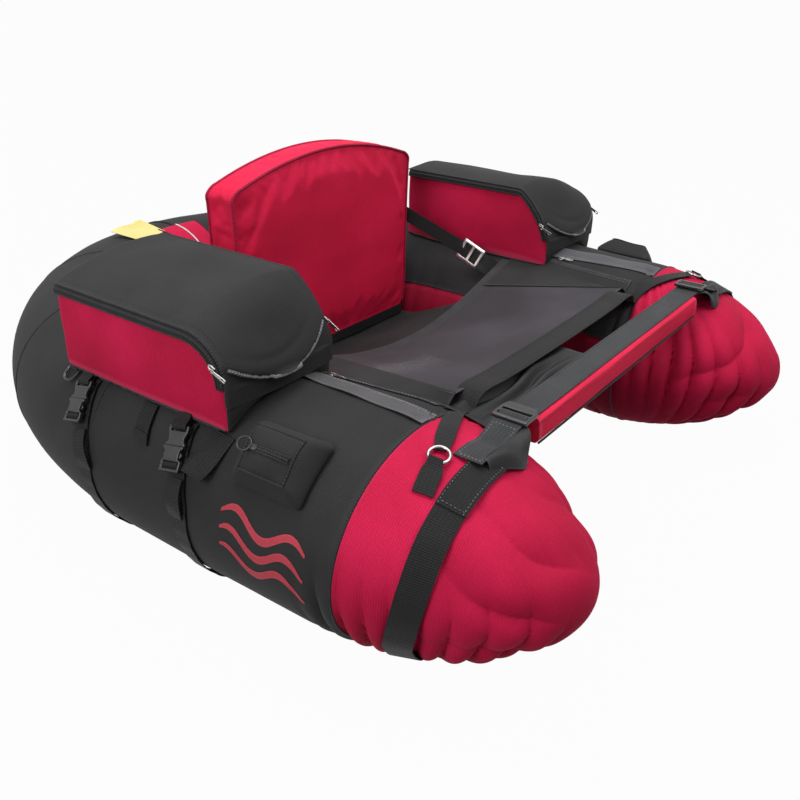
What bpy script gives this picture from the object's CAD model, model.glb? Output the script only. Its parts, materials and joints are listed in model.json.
# %% [markdown]
# A float tube is an inflatable seat for one angler: a U-shaped pontoon in a sewn cover, a mesh sling
# between its arms, a backrest, two cargo bags and a bar across the open front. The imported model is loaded
# first, and every new piece is fitted to it. Lengths are metres, +Z is up, the open front faces -Y, the
# right arm is at -X.

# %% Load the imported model
import json
import math

import bpy
import numpy as np
from mathutils import Matrix, Vector, kdtree, noise

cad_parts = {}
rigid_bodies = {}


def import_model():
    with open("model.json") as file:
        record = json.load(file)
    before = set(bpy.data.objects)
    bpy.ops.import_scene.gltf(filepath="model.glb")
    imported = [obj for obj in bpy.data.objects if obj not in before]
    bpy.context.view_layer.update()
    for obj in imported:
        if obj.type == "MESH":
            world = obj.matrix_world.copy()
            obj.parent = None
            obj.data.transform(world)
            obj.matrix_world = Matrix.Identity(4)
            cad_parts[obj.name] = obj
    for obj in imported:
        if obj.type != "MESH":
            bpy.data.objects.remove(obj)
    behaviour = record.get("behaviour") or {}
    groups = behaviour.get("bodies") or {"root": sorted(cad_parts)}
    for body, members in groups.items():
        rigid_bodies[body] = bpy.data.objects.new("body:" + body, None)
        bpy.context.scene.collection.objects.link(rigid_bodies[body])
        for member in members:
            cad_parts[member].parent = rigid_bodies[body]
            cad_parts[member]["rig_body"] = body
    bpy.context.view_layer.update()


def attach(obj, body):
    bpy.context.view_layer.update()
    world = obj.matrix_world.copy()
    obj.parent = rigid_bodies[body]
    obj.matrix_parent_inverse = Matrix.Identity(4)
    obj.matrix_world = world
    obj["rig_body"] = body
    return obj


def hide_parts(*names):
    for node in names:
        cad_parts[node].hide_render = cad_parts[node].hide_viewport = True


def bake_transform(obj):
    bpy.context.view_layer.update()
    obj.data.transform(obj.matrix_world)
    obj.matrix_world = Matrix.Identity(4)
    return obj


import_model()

SIDES = {-1: "right", 1: "left"}


# %% [markdown]
# The camera comes first, because everything is compared with one photograph. It stands off the front right
# corner, a little above, and leans by a degree and a half. Its lens and distance fit the pontoon's outline.

# %% Camera
CAMERA_AZIMUTH = math.radians(-54.283)
CAMERA_ELEVATION = math.radians(26.875)
CAMERA_ROLL = math.radians(1.490)
CAMERA_DISTANCE = 1.525
CAMERA_LENS = 38.25
CAMERA_TARGET = Vector((0.0, -0.106, 0.082))

camera_data = bpy.data.cameras.new("camera")
camera_data.lens = CAMERA_LENS
camera_data.sensor_width = 36.0
camera_data.clip_end = 400.0
camera = bpy.data.objects.new("camera", camera_data)
bpy.context.scene.collection.objects.link(camera)
bpy.context.scene.camera = camera
level = math.cos(CAMERA_ELEVATION)
turned = Vector((math.sin(CAMERA_AZIMUTH), -math.cos(CAMERA_AZIMUTH), 0))
camera_back = turned * level + Vector((0, 0, math.sin(CAMERA_ELEVATION)))
flat_right = (-camera_back).cross(Vector((0, 0, 1))).normalized()
flat_up = flat_right.cross(-camera_back)
camera_right = flat_right * math.cos(CAMERA_ROLL) + flat_up * math.sin(CAMERA_ROLL)
camera_up = flat_up * math.cos(CAMERA_ROLL) - flat_right * math.sin(CAMERA_ROLL)
camera.matrix_world = Matrix.Translation(CAMERA_TARGET + camera_back * CAMERA_DISTANCE) @ Matrix(
    (camera_right, camera_up, camera_back)
).transposed().to_4x4()
print("camera at", [round(v, 3) for v in camera.matrix_world.translation])


# %% [markdown]
# The stage is plain: a floor, a big soft lamp overhead and two from the front, as in a product studio. The
# white is for rays that come from the camera, off gloss or through holes, so that it adds little light to
# the object. The floor still shows the object's shadow.

# %% Colours and nodes
def colour(code):
    """An sRGB hex colour as the linear values that Blender's shaders expect."""
    shares = [int(code[i : i + 2], 16) / 255 for i in (1, 3, 5)]
    linear = [s / 12.92 if s <= 0.04045 else ((s + 0.055) / 1.055) ** 2.4 for s in shares]
    return (*linear, 1.0)


def add_node(tree, kind, settings=None, inputs=None):
    """One node with its own settings. An input is a value, or another node's output to link."""
    made = tree.nodes.new(kind)
    for name, value in (settings or {}).items():
        setattr(made, name, value)
    for name, value in (inputs or {}).items():
        if isinstance(value, bpy.types.NodeSocket):
            tree.links.new(value, made.inputs[name])
        else:
            made.inputs[name].default_value = value
    return made


def new_material(name):
    """An empty material: its node tree and its output."""
    made = bpy.data.materials.new(name)
    made.use_nodes = True
    made.node_tree.nodes.clear()
    return made, made.node_tree, made.node_tree.nodes.new("ShaderNodeOutputMaterial")


def sums(tree, operation, *values):
    """The result of one sum."""
    return add_node(tree, "ShaderNodeMath", {"operation": operation}, dict(enumerate(values))).outputs[0]


def mixed(tree, share, first, second, way="MIX"):
    """Two colours mixed."""
    settings = {"data_type": "RGBA", "blend_type": way}
    return add_node(tree, "ShaderNodeMix", settings, {0: share, 6: first, 7: second}).outputs[2]


def cloudy(tree, scale, detail, place=None):
    """Noise fixed to the object."""
    inputs = {"Scale": scale, "Detail": detail}
    if place:
        inputs["Vector"] = place.outputs["Object"]
    return add_node(tree, "ShaderNodeTexNoise", inputs=inputs).outputs["Fac"]


def waves(tree, plan, way, pitch, distortion, detail=0.0):
    """Parallel ridges, a pitch apart along U or V."""
    settings = {"bands_direction": way, "wave_profile": "SIN"}
    inputs = {"Vector": plan.outputs[0], "Scale": WAVE_TURN / pitch}
    inputs.update({"Distortion": distortion, "Detail": detail})
    return add_node(tree, "ShaderNodeTexWave", settings, inputs).outputs["Fac"]


def bumps(tree, height, strength, distance, **normal):
    """The normal of a surface with fine relief."""
    inputs = {"Height": height, "Strength": strength, "Distance": distance} | normal
    return add_node(tree, "ShaderNodeBump", inputs=inputs).outputs[0]


def principled(tree, output, inputs):
    """The shader that all pieces use, linked to the output."""
    shader = add_node(tree, "ShaderNodeBsdfPrincipled", inputs=inputs)
    tree.links.new(shader.outputs[0], output.inputs["Surface"])
    return shader


def seen_rays(tree):
    """1 for rays from the camera, off gloss or through holes, else 0."""
    rays = add_node(tree, "ShaderNodeLightPath").outputs
    direct = sums(tree, "MAXIMUM", rays["Is Camera Ray"], rays["Is Glossy Ray"])
    return sums(tree, "MAXIMUM", direct, rays["Is Transmission Ray"])


def select_nothing():
    """Leaves edit mode and deselects all, because an operator acts on everything that is selected."""
    if bpy.context.object and bpy.context.object.mode != "OBJECT":
        bpy.ops.object.mode_set(mode="OBJECT")
    for thing in bpy.context.selected_objects:
        thing.select_set(False)
    bpy.context.view_layer.objects.active = None


def take(thing):
    """Selects one object and makes it the active one."""
    select_nothing()
    thing.select_set(True)
    bpy.context.view_layer.objects.active = thing
    return thing


# %% Floor, background and lamps
FLOOR_RADIUS = 90.0
FLOOR_DROP = 0.0005
FLOOR_WHITE = 0.97
WORLD_LEVEL = 0.40
WHITE = (1, 1, 1, 1)
LAMP_AIM = Vector((0, 0, 0.1))
scene = bpy.context.scene
scene.view_settings.view_transform = "Standard"

select_nothing()
bpy.ops.mesh.primitive_circle_add(
    vertices=64, radius=FLOOR_RADIUS, fill_type="NGON", location=(0, 0, -FLOOR_DROP)
)
floor = bpy.context.object
floor.name = "floor"
floor_paint, tree, output = new_material("pale_studio_floor")
tone = mixed(tree, cloudy(tree, 40.0, 3.0), colour("#5c5c5c"), colour("#666666"))
matt = add_node(tree, "ShaderNodeBsdfDiffuse", inputs={"Color": tone}).outputs[0]
glow = add_node(tree, "ShaderNodeEmission", inputs={"Color": WHITE, "Strength": 1.0}).outputs[0]
share = sums(tree, "MULTIPLY", seen_rays(tree), FLOOR_WHITE)
both = add_node(tree, "ShaderNodeMixShader", inputs={0: share, 1: matt, 2: glow})
tree.links.new(both.outputs[0], output.inputs["Surface"])
floor.data.materials.append(floor_paint)

world = bpy.data.worlds.new("studio")
scene.world = world
world.use_nodes = True
tree = world.node_tree
tree.nodes.clear()
dim, bright = (
    add_node(tree, "ShaderNodeBackground", inputs={"Color": WHITE, "Strength": level}).outputs[0]
    for level in (WORLD_LEVEL, 1.0)
)
sky = add_node(tree, "ShaderNodeMixShader", inputs={0: seen_rays(tree), 1: dim, 2: bright})
add_node(tree, "ShaderNodeOutputWorld", inputs={"Surface": sky.outputs[0]})

LAMPS = (
    ("lamp_overhead", (0.0, 0.1, 2.6), 1.8, 44.0),
    ("lamp_front_left", (-2.5, 0.1, 1.7), 1.6, 44.0),
    ("lamp_front_right", (0.5, -2.0, 2.7), 1.5, 40.0),
)
for name, place, size, power in LAMPS:
    lamp_data = bpy.data.lights.new(name, "AREA")
    lamp_data.shape = "DISK"
    lamp_data.size = size
    lamp_data.energy = power
    lamp = bpy.data.objects.new(name, lamp_data)
    lamp.location = place
    lamp.rotation_mode = "QUATERNION"
    lamp.rotation_quaternion = (Vector(place) - LAMP_AIM).to_track_quat("Z", "Y")
    scene.collection.objects.link(lamp)
print("lamps", [entry[0] for entry in LAMPS])


# %% [markdown]
# The cover, the bags and the backrest are coated polyester cloth: a plain weave of thick flat threads,
# dull, with a faint sheen where the light grazes it. One function weaves any colour of it. Two crossing
# wave patterns are the threads, a slow noise shifts the colour as dye lots and handling do, and ridges rub
# a little lighter. The threads are 0.6 mm apart on the real cloth and wouldn't show at this distance, so
# they are drawn 2.4 mm apart.

# %% Woven cloth
THREAD_PITCH = 0.0024
WAVE_TURN = math.tau / 20


def cloth(
    name, tones, rub, pitch=THREAD_PITCH, rough=0.82, sheen=0.18, relief=0.00022, see_through=0.0, gloss=0.26
):
    """A plain weave in three tones: shaded, usual and lit. It follows the piece's own UV map, in metres."""
    made, tree, output = new_material(name)
    dark, usual, light = (colour(code) for code in tones)
    plan = add_node(tree, "ShaderNodeUVMap", {"uv_map": "UVMap"})
    place = add_node(tree, "ShaderNodeTexCoord")
    threads = sums(tree, "MULTIPLY", waves(tree, plan, "X", pitch, 0.6), waves(tree, plan, "Y", pitch, 0.6))
    slow = cloudy(tree, 7.0, 4.0, place)
    grain = cloudy(tree, 420.0, 2.0, place)
    dyed = add_node(tree, "ShaderNodeValToRGB", inputs={0: slow})
    ends = dyed.color_ramp.elements
    ends[0].position = 0.32
    ends[0].color = dark
    ends[1].position = 0.68
    ends[1].color = light
    ends.new(0.5).color = usual
    lit = mixed(tree, 0.30, dyed.outputs[0], grain, "MULTIPLY")
    woven = mixed(tree, 0.35, lit, threads, "SOFT_LIGHT")
    form = add_node(tree, "ShaderNodeNewGeometry").outputs["Pointiness"]
    ridge = add_node(
        tree, "ShaderNodeMapRange", inputs={"Value": form, "From Min": 0.52, "From Max": 0.60, "To Max": 0.16}
    )
    worn = mixed(tree, ridge.outputs[0], woven, colour(rub))
    crumple = bumps(tree, slow, 0.35, 0.004, Normal=bumps(tree, threads, 0.55, relief))
    shader = principled(tree, output, {
        "Base Color": worn, "Roughness": rough, "Sheen Weight": sheen, "Sheen Roughness": 0.45,
        "Sheen Tint": light, "Specular IOR Level": gloss, "Normal": crumple,
    })
    if see_through:
        solid = sums(tree, "SUBTRACT", 1.0, sums(tree, "GREATER_THAN", threads, see_through))
        tree.links.new(solid, shader.inputs["Alpha"])
    return made


BLACK_POLYESTER = cloth("black_coated_polyester", ("#1f1f20", "#262627", "#2d2d2e"), "#5c5c5e")
RED_TONES = ("#b40e3c", "#c21244", "#d0194e")
RED_POLYESTER = cloth("red_coated_polyester", RED_TONES, "#e66a8c", sheen=0.09, gloss=0.2)
DARK_RED_POLYESTER = cloth(
    "red_polyester_lower_panel", ("#980c32", "#a81038", "#b4133f"), "#cf4b6b", sheen=0.05, gloss=0.2
)
GREY_POLYESTER = cloth("grey_polyester_flap", ("#4c4b4e", "#575659", "#636266"), "#9b9a9e")
SOFT_RED = cloth(
    "red_brushed_polyester", ("#d01040", "#dc1246", "#e61a51"), "#e8708c", rough=0.74, sheen=0.12, gloss=0.25
)
NYLON_TONES = ("#141416", "#1b1b1d", "#262629")
APRON_NYLON = cloth("black_ripstop_nylon", NYLON_TONES, "#737377", rough=0.55, sheen=0.1)
PATCH_CLOTH = cloth("plain_yellow_patch", ("#d8ca7c", "#e0d488", "#e8dc98"), "#fbf6d0", sheen=0.05)
print("woven cloths", [m.name for m in bpy.data.materials if "poly" in m.name])


# %% [markdown]
# The seat is an open polyester net, so that water runs out of it. Its holes are 2 mm across and drawn at
# 3.6 mm. The threads cross as in the cloth, and the material is clear between them.

# %% Seat net
NET_PITCH = 0.0036
SEAT_NET = cloth(
    "grey_polyester_net", ("#302e32", "#3a383d", "#464349"), "#7d7a80",
    pitch=NET_PITCH, rough=0.7, sheen=0.25,
    relief=0.0005, see_through=0.82,
)


# %% [markdown]
# Webbing is thick polypropylene tape: fine ribs run across it, its edges are rounder and tighter, and it
# has a dull gloss. The ribs are 1.5 mm apart and drawn at 3 mm. They follow the tape's length through its
# UV map.

# %% Webbing
RIB_PITCH = 0.0030
CORD_PITCH_SHARE = 1.6


def webbing(name, tones, pitch=RIB_PITCH, rough=0.6):
    """Ribbed tape. U runs across it and V along it, both in metres."""
    made, tree, output = new_material(name)
    plan = add_node(tree, "ShaderNodeUVMap", {"uv_map": "UVMap"})
    ribs = waves(tree, plan, "Y", pitch, 0.3, 1.0)
    cords = waves(tree, plan, "X", pitch * CORD_PITCH_SHARE, 0.2)
    both = sums(tree, "MULTIPLY_ADD", cords, 0.4, ribs)
    slow = cloudy(tree, 30.0, 3.0, add_node(tree, "ShaderNodeTexCoord"))
    dyed = mixed(tree, sums(tree, "MULTIPLY", both, slow), colour(tones[0]), colour(tones[1]))
    principled(tree, output, {
        "Base Color": dyed, "Roughness": rough, "Sheen Weight": 0.05, "Sheen Roughness": 0.4,
        "Specular IOR Level": 0.14, "Normal": bumps(tree, both, 0.7, 0.0005),
    })
    return made


BLACK_WEBBING = webbing("black_polypropylene_webbing", ("#101011", "#212122"))
GREY_WEBBING = webbing("grey_polypropylene_webbing", ("#232425", "#3e3f41"))
PIPING = webbing("black_piping_cord", ("#1f1f21", "#343437"), pitch=0.004, rough=0.7)
LIP_PIPING = webbing("grey_piping_cord", ("#58585b", "#7c7c80"), pitch=0.004, rough=0.6)
RED_PIPING = webbing("red_piping_cord", ("#86102f", "#b81f45"), pitch=0.004, rough=0.7)
THREAD = webbing("black_sewing_thread", ("#1b1b1c", "#2c2c2e"), pitch=0.002, rough=0.5)
PALE_THREAD = webbing("grey_sewing_thread", ("#77757a", "#98969b"), pitch=0.002, rough=0.5)
WHITE_TAPE = webbing("white_zip_tape", ("#bdbbb8", "#e6e4e0"), pitch=0.002, rough=0.7)


# %% [markdown]
# The buckles are moulded acetal: dead smooth black with a soft gloss and a hair of orange peel. The sliders
# and rings are nickel-plated steel, bright with a slight blur where they rub. The bladder and valve are
# PVC.

# %% Hard materials
def moulded(name, base, rough, grain_scale, relief, metallic=0.0, rough_spread=0.1, ior=None):
    """A plastic or a metal whose colour, gloss and skin vary a little with a fine noise."""
    made, tree, output = new_material(name)
    place = add_node(tree, "ShaderNodeTexCoord")
    smear = cloudy(tree, 60.0, 3.0, place)
    gloss = {"Value": smear, "To Min": rough - rough_spread, "To Max": rough + rough_spread}
    shader = principled(tree, output, {
        "Base Color": mixed(tree, smear, colour(base[0]), colour(base[1])),
        "Roughness": add_node(tree, "ShaderNodeMapRange", inputs=gloss).outputs[0],
        "Metallic": metallic,
        "Normal": bumps(tree, cloudy(tree, grain_scale, 4.0, place), 0.4, relief),
    })
    if ior:
        shader.inputs["IOR"].default_value = ior
    return made


BLACK_ACETAL = moulded("black_moulded_acetal", ("#1a1a1b", "#242426"), 0.34, 900.0, 0.00006, ior=1.48)
NICKEL = moulded("nickel_plated_steel", ("#8f8e8c", "#adacaa"), 0.30, 700.0, 0.00003, metallic=1.0)
VINYL = moulded("black_calendered_pvc", ("#202022", "#2b2b2d"), 0.45, 500.0, 0.00015, ior=1.53)
FOAM_TONES = ("#7b7b7b", "#8c8c8c")
FOAM = moulded("grey_polyethylene_foam", FOAM_TONES, 0.9, 1400.0, 0.0008, rough_spread=0.05, ior=1.5)
print("materials", len(bpy.data.materials))


# %% [markdown]
# Most of this object is cloth and tape that lies on something round. Such a piece starts as a flat grid
# with the real width and length in its UV map. Each of its points is then moved to its place on the form,
# and a Solidify modifier gives the wall. A sewer thinks so too: a flat cut, then the shape that it is
# pulled over.

# %% Helpers for sheets
def mix(a, b, share):
    return a + (b - a) * share


def clamp(value, low=0.0, high=1.0):
    return min(max(value, low), high)


def ease(low, high, value):
    """Rises smoothly from 0 at low to 1 at high."""
    share = clamp((value - low) / (high - low))
    return share * share * (3 - 2 * share)


def sided(side, point):
    """The point on that side: -1 is the right arm and 1 the left one."""
    return Vector((side * point[0], point[1], point[2]))


def modify(thing, kind, **settings):
    """Adds one modifier and applies it."""
    take(thing)
    modifier = thing.modifiers.new(kind.lower(), kind)
    for name, value in settings.items():
        setattr(modifier, name, value)
    bpy.ops.object.modifier_apply(modifier=modifier.name)
    return thing


def finish_piece(thing, paints, body, node=None, smooth=40.0):
    """Gives a finished piece its paint, its smooth shading, its body and the node it replaces."""
    for paint in paints if isinstance(paints, list) else [paints]:
        thing.data.materials.append(paint)
    take(thing)
    bpy.ops.object.shade_smooth_by_angle(angle=math.radians(smooth))
    select_nothing()
    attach(thing, body)
    if node:
        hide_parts(node)
    return thing


def to_edit():
    """Edit mode with every point selected."""
    bpy.ops.object.mode_set(mode="EDIT")
    bpy.ops.mesh.select_all(action="SELECT")


def face_outwards(thing):
    take(thing)
    to_edit()
    bpy.ops.mesh.normals_make_consistent(inside=False)
    bpy.ops.object.mode_set(mode="OBJECT")


def metric_plan(mesh):
    """The mesh's UV map, made if there is none."""
    plan = mesh.uv_layers[0] if mesh.uv_layers else mesh.uv_layers.new(name="UVMap")
    plan.name = "UVMap"
    return plan


def grid_sheet(name, columns, rows, flat, point, outside, wall, offset=-1.0):
    """A sheet of columns by rows faces. point(u, v) gives its place from shares of its width and length."""
    select_nothing()
    bpy.ops.mesh.primitive_grid_add(x_subdivisions=columns, y_subdivisions=rows, size=2.0)
    made = bpy.context.object
    made.name = name
    mesh = made.data
    for vert in mesh.vertices:
        vert.co = point(clamp((vert.co.x + 1) / 2), clamp((vert.co.y + 1) / 2))
    plan = metric_plan(mesh)
    spots = np.zeros(len(plan.data) * 2, np.float32)
    plan.data.foreach_get("uv", spots)
    spots = spots.reshape(-1, 2) * np.array(flat, np.float32)
    plan.data.foreach_set("uv", spots.ravel())
    to_edit()
    bpy.ops.mesh.remove_doubles(threshold=0.00002)
    bpy.ops.object.mode_set(mode="OBJECT")
    facing = sum(face.normal.dot(outside(face.center)) * face.area for face in mesh.polygons)
    if facing < 0:
        mesh.flip_normals()
    return modify(made, "SOLIDIFY", thickness=wall, offset=offset, use_rim=True)


def upward(_):
    return Vector((0, 0, 1))


STEPS_BETWEEN = 24


def lengths_along(line):
    """The length gone at each point of a line."""
    gone = [0.0]
    for a, b in zip(line, line[1:]):
        gone.append(gone[-1] + (b - a).length)
    return gone


def smooth_line(points, count):
    """A smooth line through the points, as count + 1 evenly spread points."""
    points = [Vector(p) for p in points]
    ends = [points[0] * 2 - points[1], *points, points[-1] * 2 - points[-2]]
    dense = []
    for a, b, c, d in zip(ends, ends[1:], ends[2:], ends[3:]):
        for step in range(STEPS_BETWEEN):
            t = step / STEPS_BETWEEN
            curve = b * 2 + (c - a) * t + (a * 2 - b * 5 + c * 4 - d) * t**2 + (b * 3 - a - c * 3 + d) * t**3
            dense.append(0.5 * curve)
    dense.append(points[-1])
    gone = lengths_along(dense)
    made, index = [], 0
    for step in range(count + 1):
        want = gone[-1] * step / count
        while index < len(dense) - 2 and gone[index + 1] < want:
            index += 1
        span = gone[index + 1] - gone[index] or 1.0
        made.append(dense[index].lerp(dense[index + 1], clamp((want - gone[index]) / span)))
    return made


def line_length(line):
    return sum((b - a).length for a, b in zip(line, line[1:]))


def tape(name, line, across, width, wall, paint, body, node=None, offset=1.0):
    """Flat tape along a line. across(k) is its width's direction, and width a length or a function of k."""
    count = len(line) - 1
    wide = width if callable(width) else lambda k: width
    length = line_length(line)

    def point(u, v):
        k = round(v * count)
        return line[k] + across(k) * wide(k) * (u - 0.5)

    def outside(middle):
        k = min(range(count + 1), key=lambda i: (line[i] - middle).length_squared)
        run = line[min(k + 1, count)] - line[max(k - 1, 0)]
        return across(k).cross(run)

    made = grid_sheet(name, 4, count, (wide(count // 2), length), point, outside, wall, offset)
    return finish_piece(made, paint, body, node)


def cord_line(name, line, radius, paint, body, closed=False, node=None):
    """A round cord of eight sides along a line, as a curve with a bevel that is turned into a mesh."""
    data = bpy.data.curves.new(name, "CURVE")
    data.dimensions = "3D"
    data.bevel_depth = radius
    data.bevel_resolution = 1
    data.use_fill_caps = not closed
    spline = data.splines.new("POLY")
    spline.points.add(len(line) - 1)
    for spot, place in zip(spline.points, line):
        spot.co = (*place, 1)
    spline.use_cyclic_u = closed
    made = bpy.data.objects.new(name, data)
    scene.collection.objects.link(made)
    take(made)
    bpy.ops.object.convert(target="MESH")
    made = bpy.context.object
    around_uv(made, line, radius)
    return finish_piece(made, paint, body, node)


def around_uv(thing, line, radius):
    """A UV map for a cord: U runs round it and V along it, in metres."""
    gone = lengths_along(line)
    spots = np.array([tuple(p) for p in line])
    mesh = thing.data
    verts = np.zeros(len(mesh.vertices) * 3)
    mesh.vertices.foreach_get("co", verts)
    verts = verts.reshape(-1, 3)
    near = [int(np.argmin(((spots - v) ** 2).sum(1))) for v in verts]
    plan = metric_plan(mesh)
    for loop in mesh.loops:
        k = near[loop.vertex_index]
        plan.data[loop.index].uv = ((loop.vertex_index % 8) / 8 * radius * math.tau, gone[k])


def box_uv(thing):
    """A UV map in metres for a boxy piece: each face takes the two axes that it faces least."""
    mesh = thing.data
    plan = metric_plan(mesh)
    for face in mesh.polygons:
        drop = max(range(3), key=lambda axis: abs(face.normal[axis]))
        keep = [axis for axis in range(3) if axis != drop]
        for loop in face.loop_indices:
            place = mesh.vertices[mesh.loops[loop].vertex_index].co
            plan.data[loop].uv = (place[keep[0]], place[keep[1]])


# %% [markdown]
# Stitches are short dashes of thick thread that lie on the cloth. A low four-sided pyramid is enough for
# each. All the dashes of a seam are one mesh, because thousands of separate objects would be slow.

# %% Stitches
STITCH_LENGTH = 0.0032
STITCH_GAP = 0.0016
STITCH_WIDTH = 0.0009


def stitches(name, lines, lift_of, paint, body):
    """Dashes along each line. lift_of(point) is the outward direction there."""
    verts, faces = [], []
    for line in lines:
        count = max(int(line_length(line) / (STITCH_LENGTH + STITCH_GAP)), 1)
        spots = smooth_line(line, count * 2)
        for k in range(count):
            start, end = spots[2 * k], spots[2 * k + 1]
            run = (end - start).normalized()
            middle = start.lerp(end, 0.5)
            out = lift_of(middle).normalized()
            beside = run.cross(out).normalized() * STITCH_WIDTH / 2
            long = run * STITCH_LENGTH / 2
            low, high = out * STITCH_WIDTH * 0.15, out * STITCH_WIDTH * 0.8
            base = len(verts)
            verts += [middle - long, middle - beside + low, middle + long]
            verts += [middle + beside + low, middle + high]
            faces += [(base + i, base + (i + 1) % 4, base + 4) for i in range(4)]
            faces.append((base + 3, base + 2, base + 1, base))
    mesh = bpy.data.meshes.new(name)
    mesh.from_pydata(verts, [], faces)
    mesh.uv_layers.new(name="UVMap")
    made = bpy.data.objects.new(name, mesh)
    scene.collection.objects.link(made)
    face_outwards(made)
    box_uv(made)
    return finish_piece(made, paint, body, smooth=30.0)


# %% [markdown]
# The pontoon is one smooth tube. Each arm is straight and swells a little towards its closed tip, and the
# rear bends round in half an ellipse. A place on it is a distance along the arm from the nose and an angle
# round the section: 0 is the outer side, 90 the top and 180 the inner side. Every strap and pocket uses the
# same function.

# %% The pontoon's form
HALF_WIDTH = 0.550
HALF_HEIGHT = 0.149
NOSE_Y = -0.648
ARM_HALF_W = 0.157
TIP_HALF_W = 0.173
WIDEN_FROM_Y = -0.200
WIDEN_LENGTH = 0.159
TIP_LENGTH = 0.289
TIP_FULLNESS = 0.54
ARM_X = HALF_WIDTH - ARM_HALF_W
BEND_Y = -0.024
BEND_DEPTH = 0.515
BEND_LENGTH = 0.716
ARM_LENGTH = BEND_Y - NOSE_Y
WHOLE_LENGTH = ARM_LENGTH + BEND_LENGTH
TIP_SEAM = 0.238
OUTER_SEAM = -52.5
INNER_SEAM = 157.5


def section_at(along):
    """The tube's middle, its outward direction and its half width and height, on the side x > 0."""
    if along < ARM_LENGTH:
        y = NOSE_Y + along
        wide = mix(ARM_HALF_W, TIP_HALF_W, clamp((WIDEN_FROM_Y - y) / WIDEN_LENGTH))
        full = (1 - (1 - clamp(along / TIP_LENGTH)) ** 2) ** TIP_FULLNESS
        return Vector((HALF_WIDTH - wide, y, HALF_HEIGHT)), Vector((1, 0, 0)), wide * full, HALF_HEIGHT * full
    turn = (along - ARM_LENGTH) / BEND_LENGTH * math.pi / 2
    middle = Vector((ARM_X * math.cos(turn), BEND_Y + BEND_DEPTH * math.sin(turn), HALF_HEIGHT))
    out = Vector((BEND_DEPTH * math.cos(turn), ARM_X * math.sin(turn), 0)).normalized()
    return middle, out, ARM_HALF_W, HALF_HEIGHT


def bare(along, angle, lift=0.0):
    """A point of the tube's section without creases."""
    middle, out, half_w, half_h = section_at(along)
    turn = math.radians(angle)
    return middle + out * (half_w + lift) * math.cos(turn) + Vector((0, 0, (half_h + lift) * math.sin(turn)))


def normal_at(along, angle):
    """The tube's outward direction, from four points around the place."""
    run = bare(min(along + 0.002, WHOLE_LENGTH), angle) - bare(max(along - 0.002, 0.0004), angle)
    here = max(along, 0.0008)
    normal = (bare(here, angle + 1.0) - bare(here, angle - 1.0)).cross(run)
    if normal.length < 1e-12:
        return Vector((0, -1, 0))
    normal.normalize()
    middle = section_at(along)[0]
    return normal if normal.dot(bare(max(along, 0.001), angle) - middle) >= -1e-9 else -normal


# %% [markdown]
# Cloth over an inflated tube isn't smooth. At the tips the cover is gathered into its seam, which makes
# deep narrow puckers with full rounded cloth between them. On the inner side of the bend the cloth is too
# long and crumples across. Elsewhere it only ripples by a millimetre. All creases go inwards: straps rest
# on the crests.

# %% Creases
PUCKER_PITCH = 0.036
PUCKER_DEPTH = 0.0260
PUCKER_FADE_UP = 0.115
PUCKER_FADE_DOWN = 0.085
GATHERED_LENGTH = 0.30
BROAD_FOLD_DEPTH = 0.0100
CRUMPLE_PITCH = 0.046
CRUMPLE_DEPTH = 0.0065


def bell(distance, width):
    """1 in the middle, falling to nothing over about two widths."""
    return math.exp(-((distance / width) ** 2))


def seam_height(share):
    """The height of the tip's gathered seam, from 0 at the outer side, round the nose, to 1 at the inner."""
    return mix(0.020, 0.190, ease(0.25, 1.0, share))


def crease(side, along, angle):
    """How far the cloth lies inside the full tube at a place."""
    place = bare(along, angle)
    seed = Vector((place.x * side, place.y, place.z))
    depth = 0.0007 * (1 + noise.noise(seed * 9.0))
    depth += 0.0012 * max(noise.noise(seed * Vector((14.0, 5.0, 11.0)) + Vector((4.2, 0, 0))), 0.0)
    if along > TIP_SEAM:
        inner = ease(105, 150, angle % 360) * (1 - ease(215, 260, angle % 360))
        bend = ease(ARM_LENGTH - 0.12, ARM_LENGTH + 0.15, along)
        wave = math.sin(along / CRUMPLE_PITCH * math.pi + 1.4 * noise.noise(seed * 6.0))
        depth += CRUMPLE_DEPTH * inner * bend * (1 - abs(wave) ** 0.7)
    reach = clamp(1 - along / GATHERED_LENGTH)
    if reach > 0:
        middle = Vector((section_at(TIP_SEAM)[0].x, NOSE_Y + TIP_SEAM + 0.02, 0))
        beta = math.atan2(middle.y - place.y, place.x - middle.x)
        arc = beta * 0.205 + 0.010 * noise.noise(seed * 7.0 + Vector((0, 0, side * 3.0)))
        gap = place.z - seam_height(clamp(beta / math.pi))
        fade = bell(gap, PUCKER_FADE_UP if gap > 0 else PUCKER_FADE_DOWN)
        valley = 1 - abs(math.sin(arc / PUCKER_PITCH * math.pi)) ** 0.55
        strength = ease(0.0, 0.10, reach) * (0.55 + 0.45 * noise.noise(seed * 5.0 + Vector((9, side, 0))))
        depth += PUCKER_DEPTH * fade * valley * strength * ease(0.0, 0.03, along)
        slant = beta * 0.9 + place.z * 9.0 + 0.5 * noise.noise(seed * 6.0)
        broad = 1 - abs(math.sin(slant * 5.2)) ** 0.8
        depth += BROAD_FOLD_DEPTH * broad * ease(0.30, 0.95, reach) * ease(0.004, 0.05, along)
    return depth


def hull(side, along, angle, lift=0.0, creased=True):
    """A point on the cover of that side, with its creases, lifted off it."""
    off = lift - (crease(side, along, angle) if creased else 0.0)
    return sided(side, bare(along, angle) + normal_at(along, angle) * off)


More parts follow.
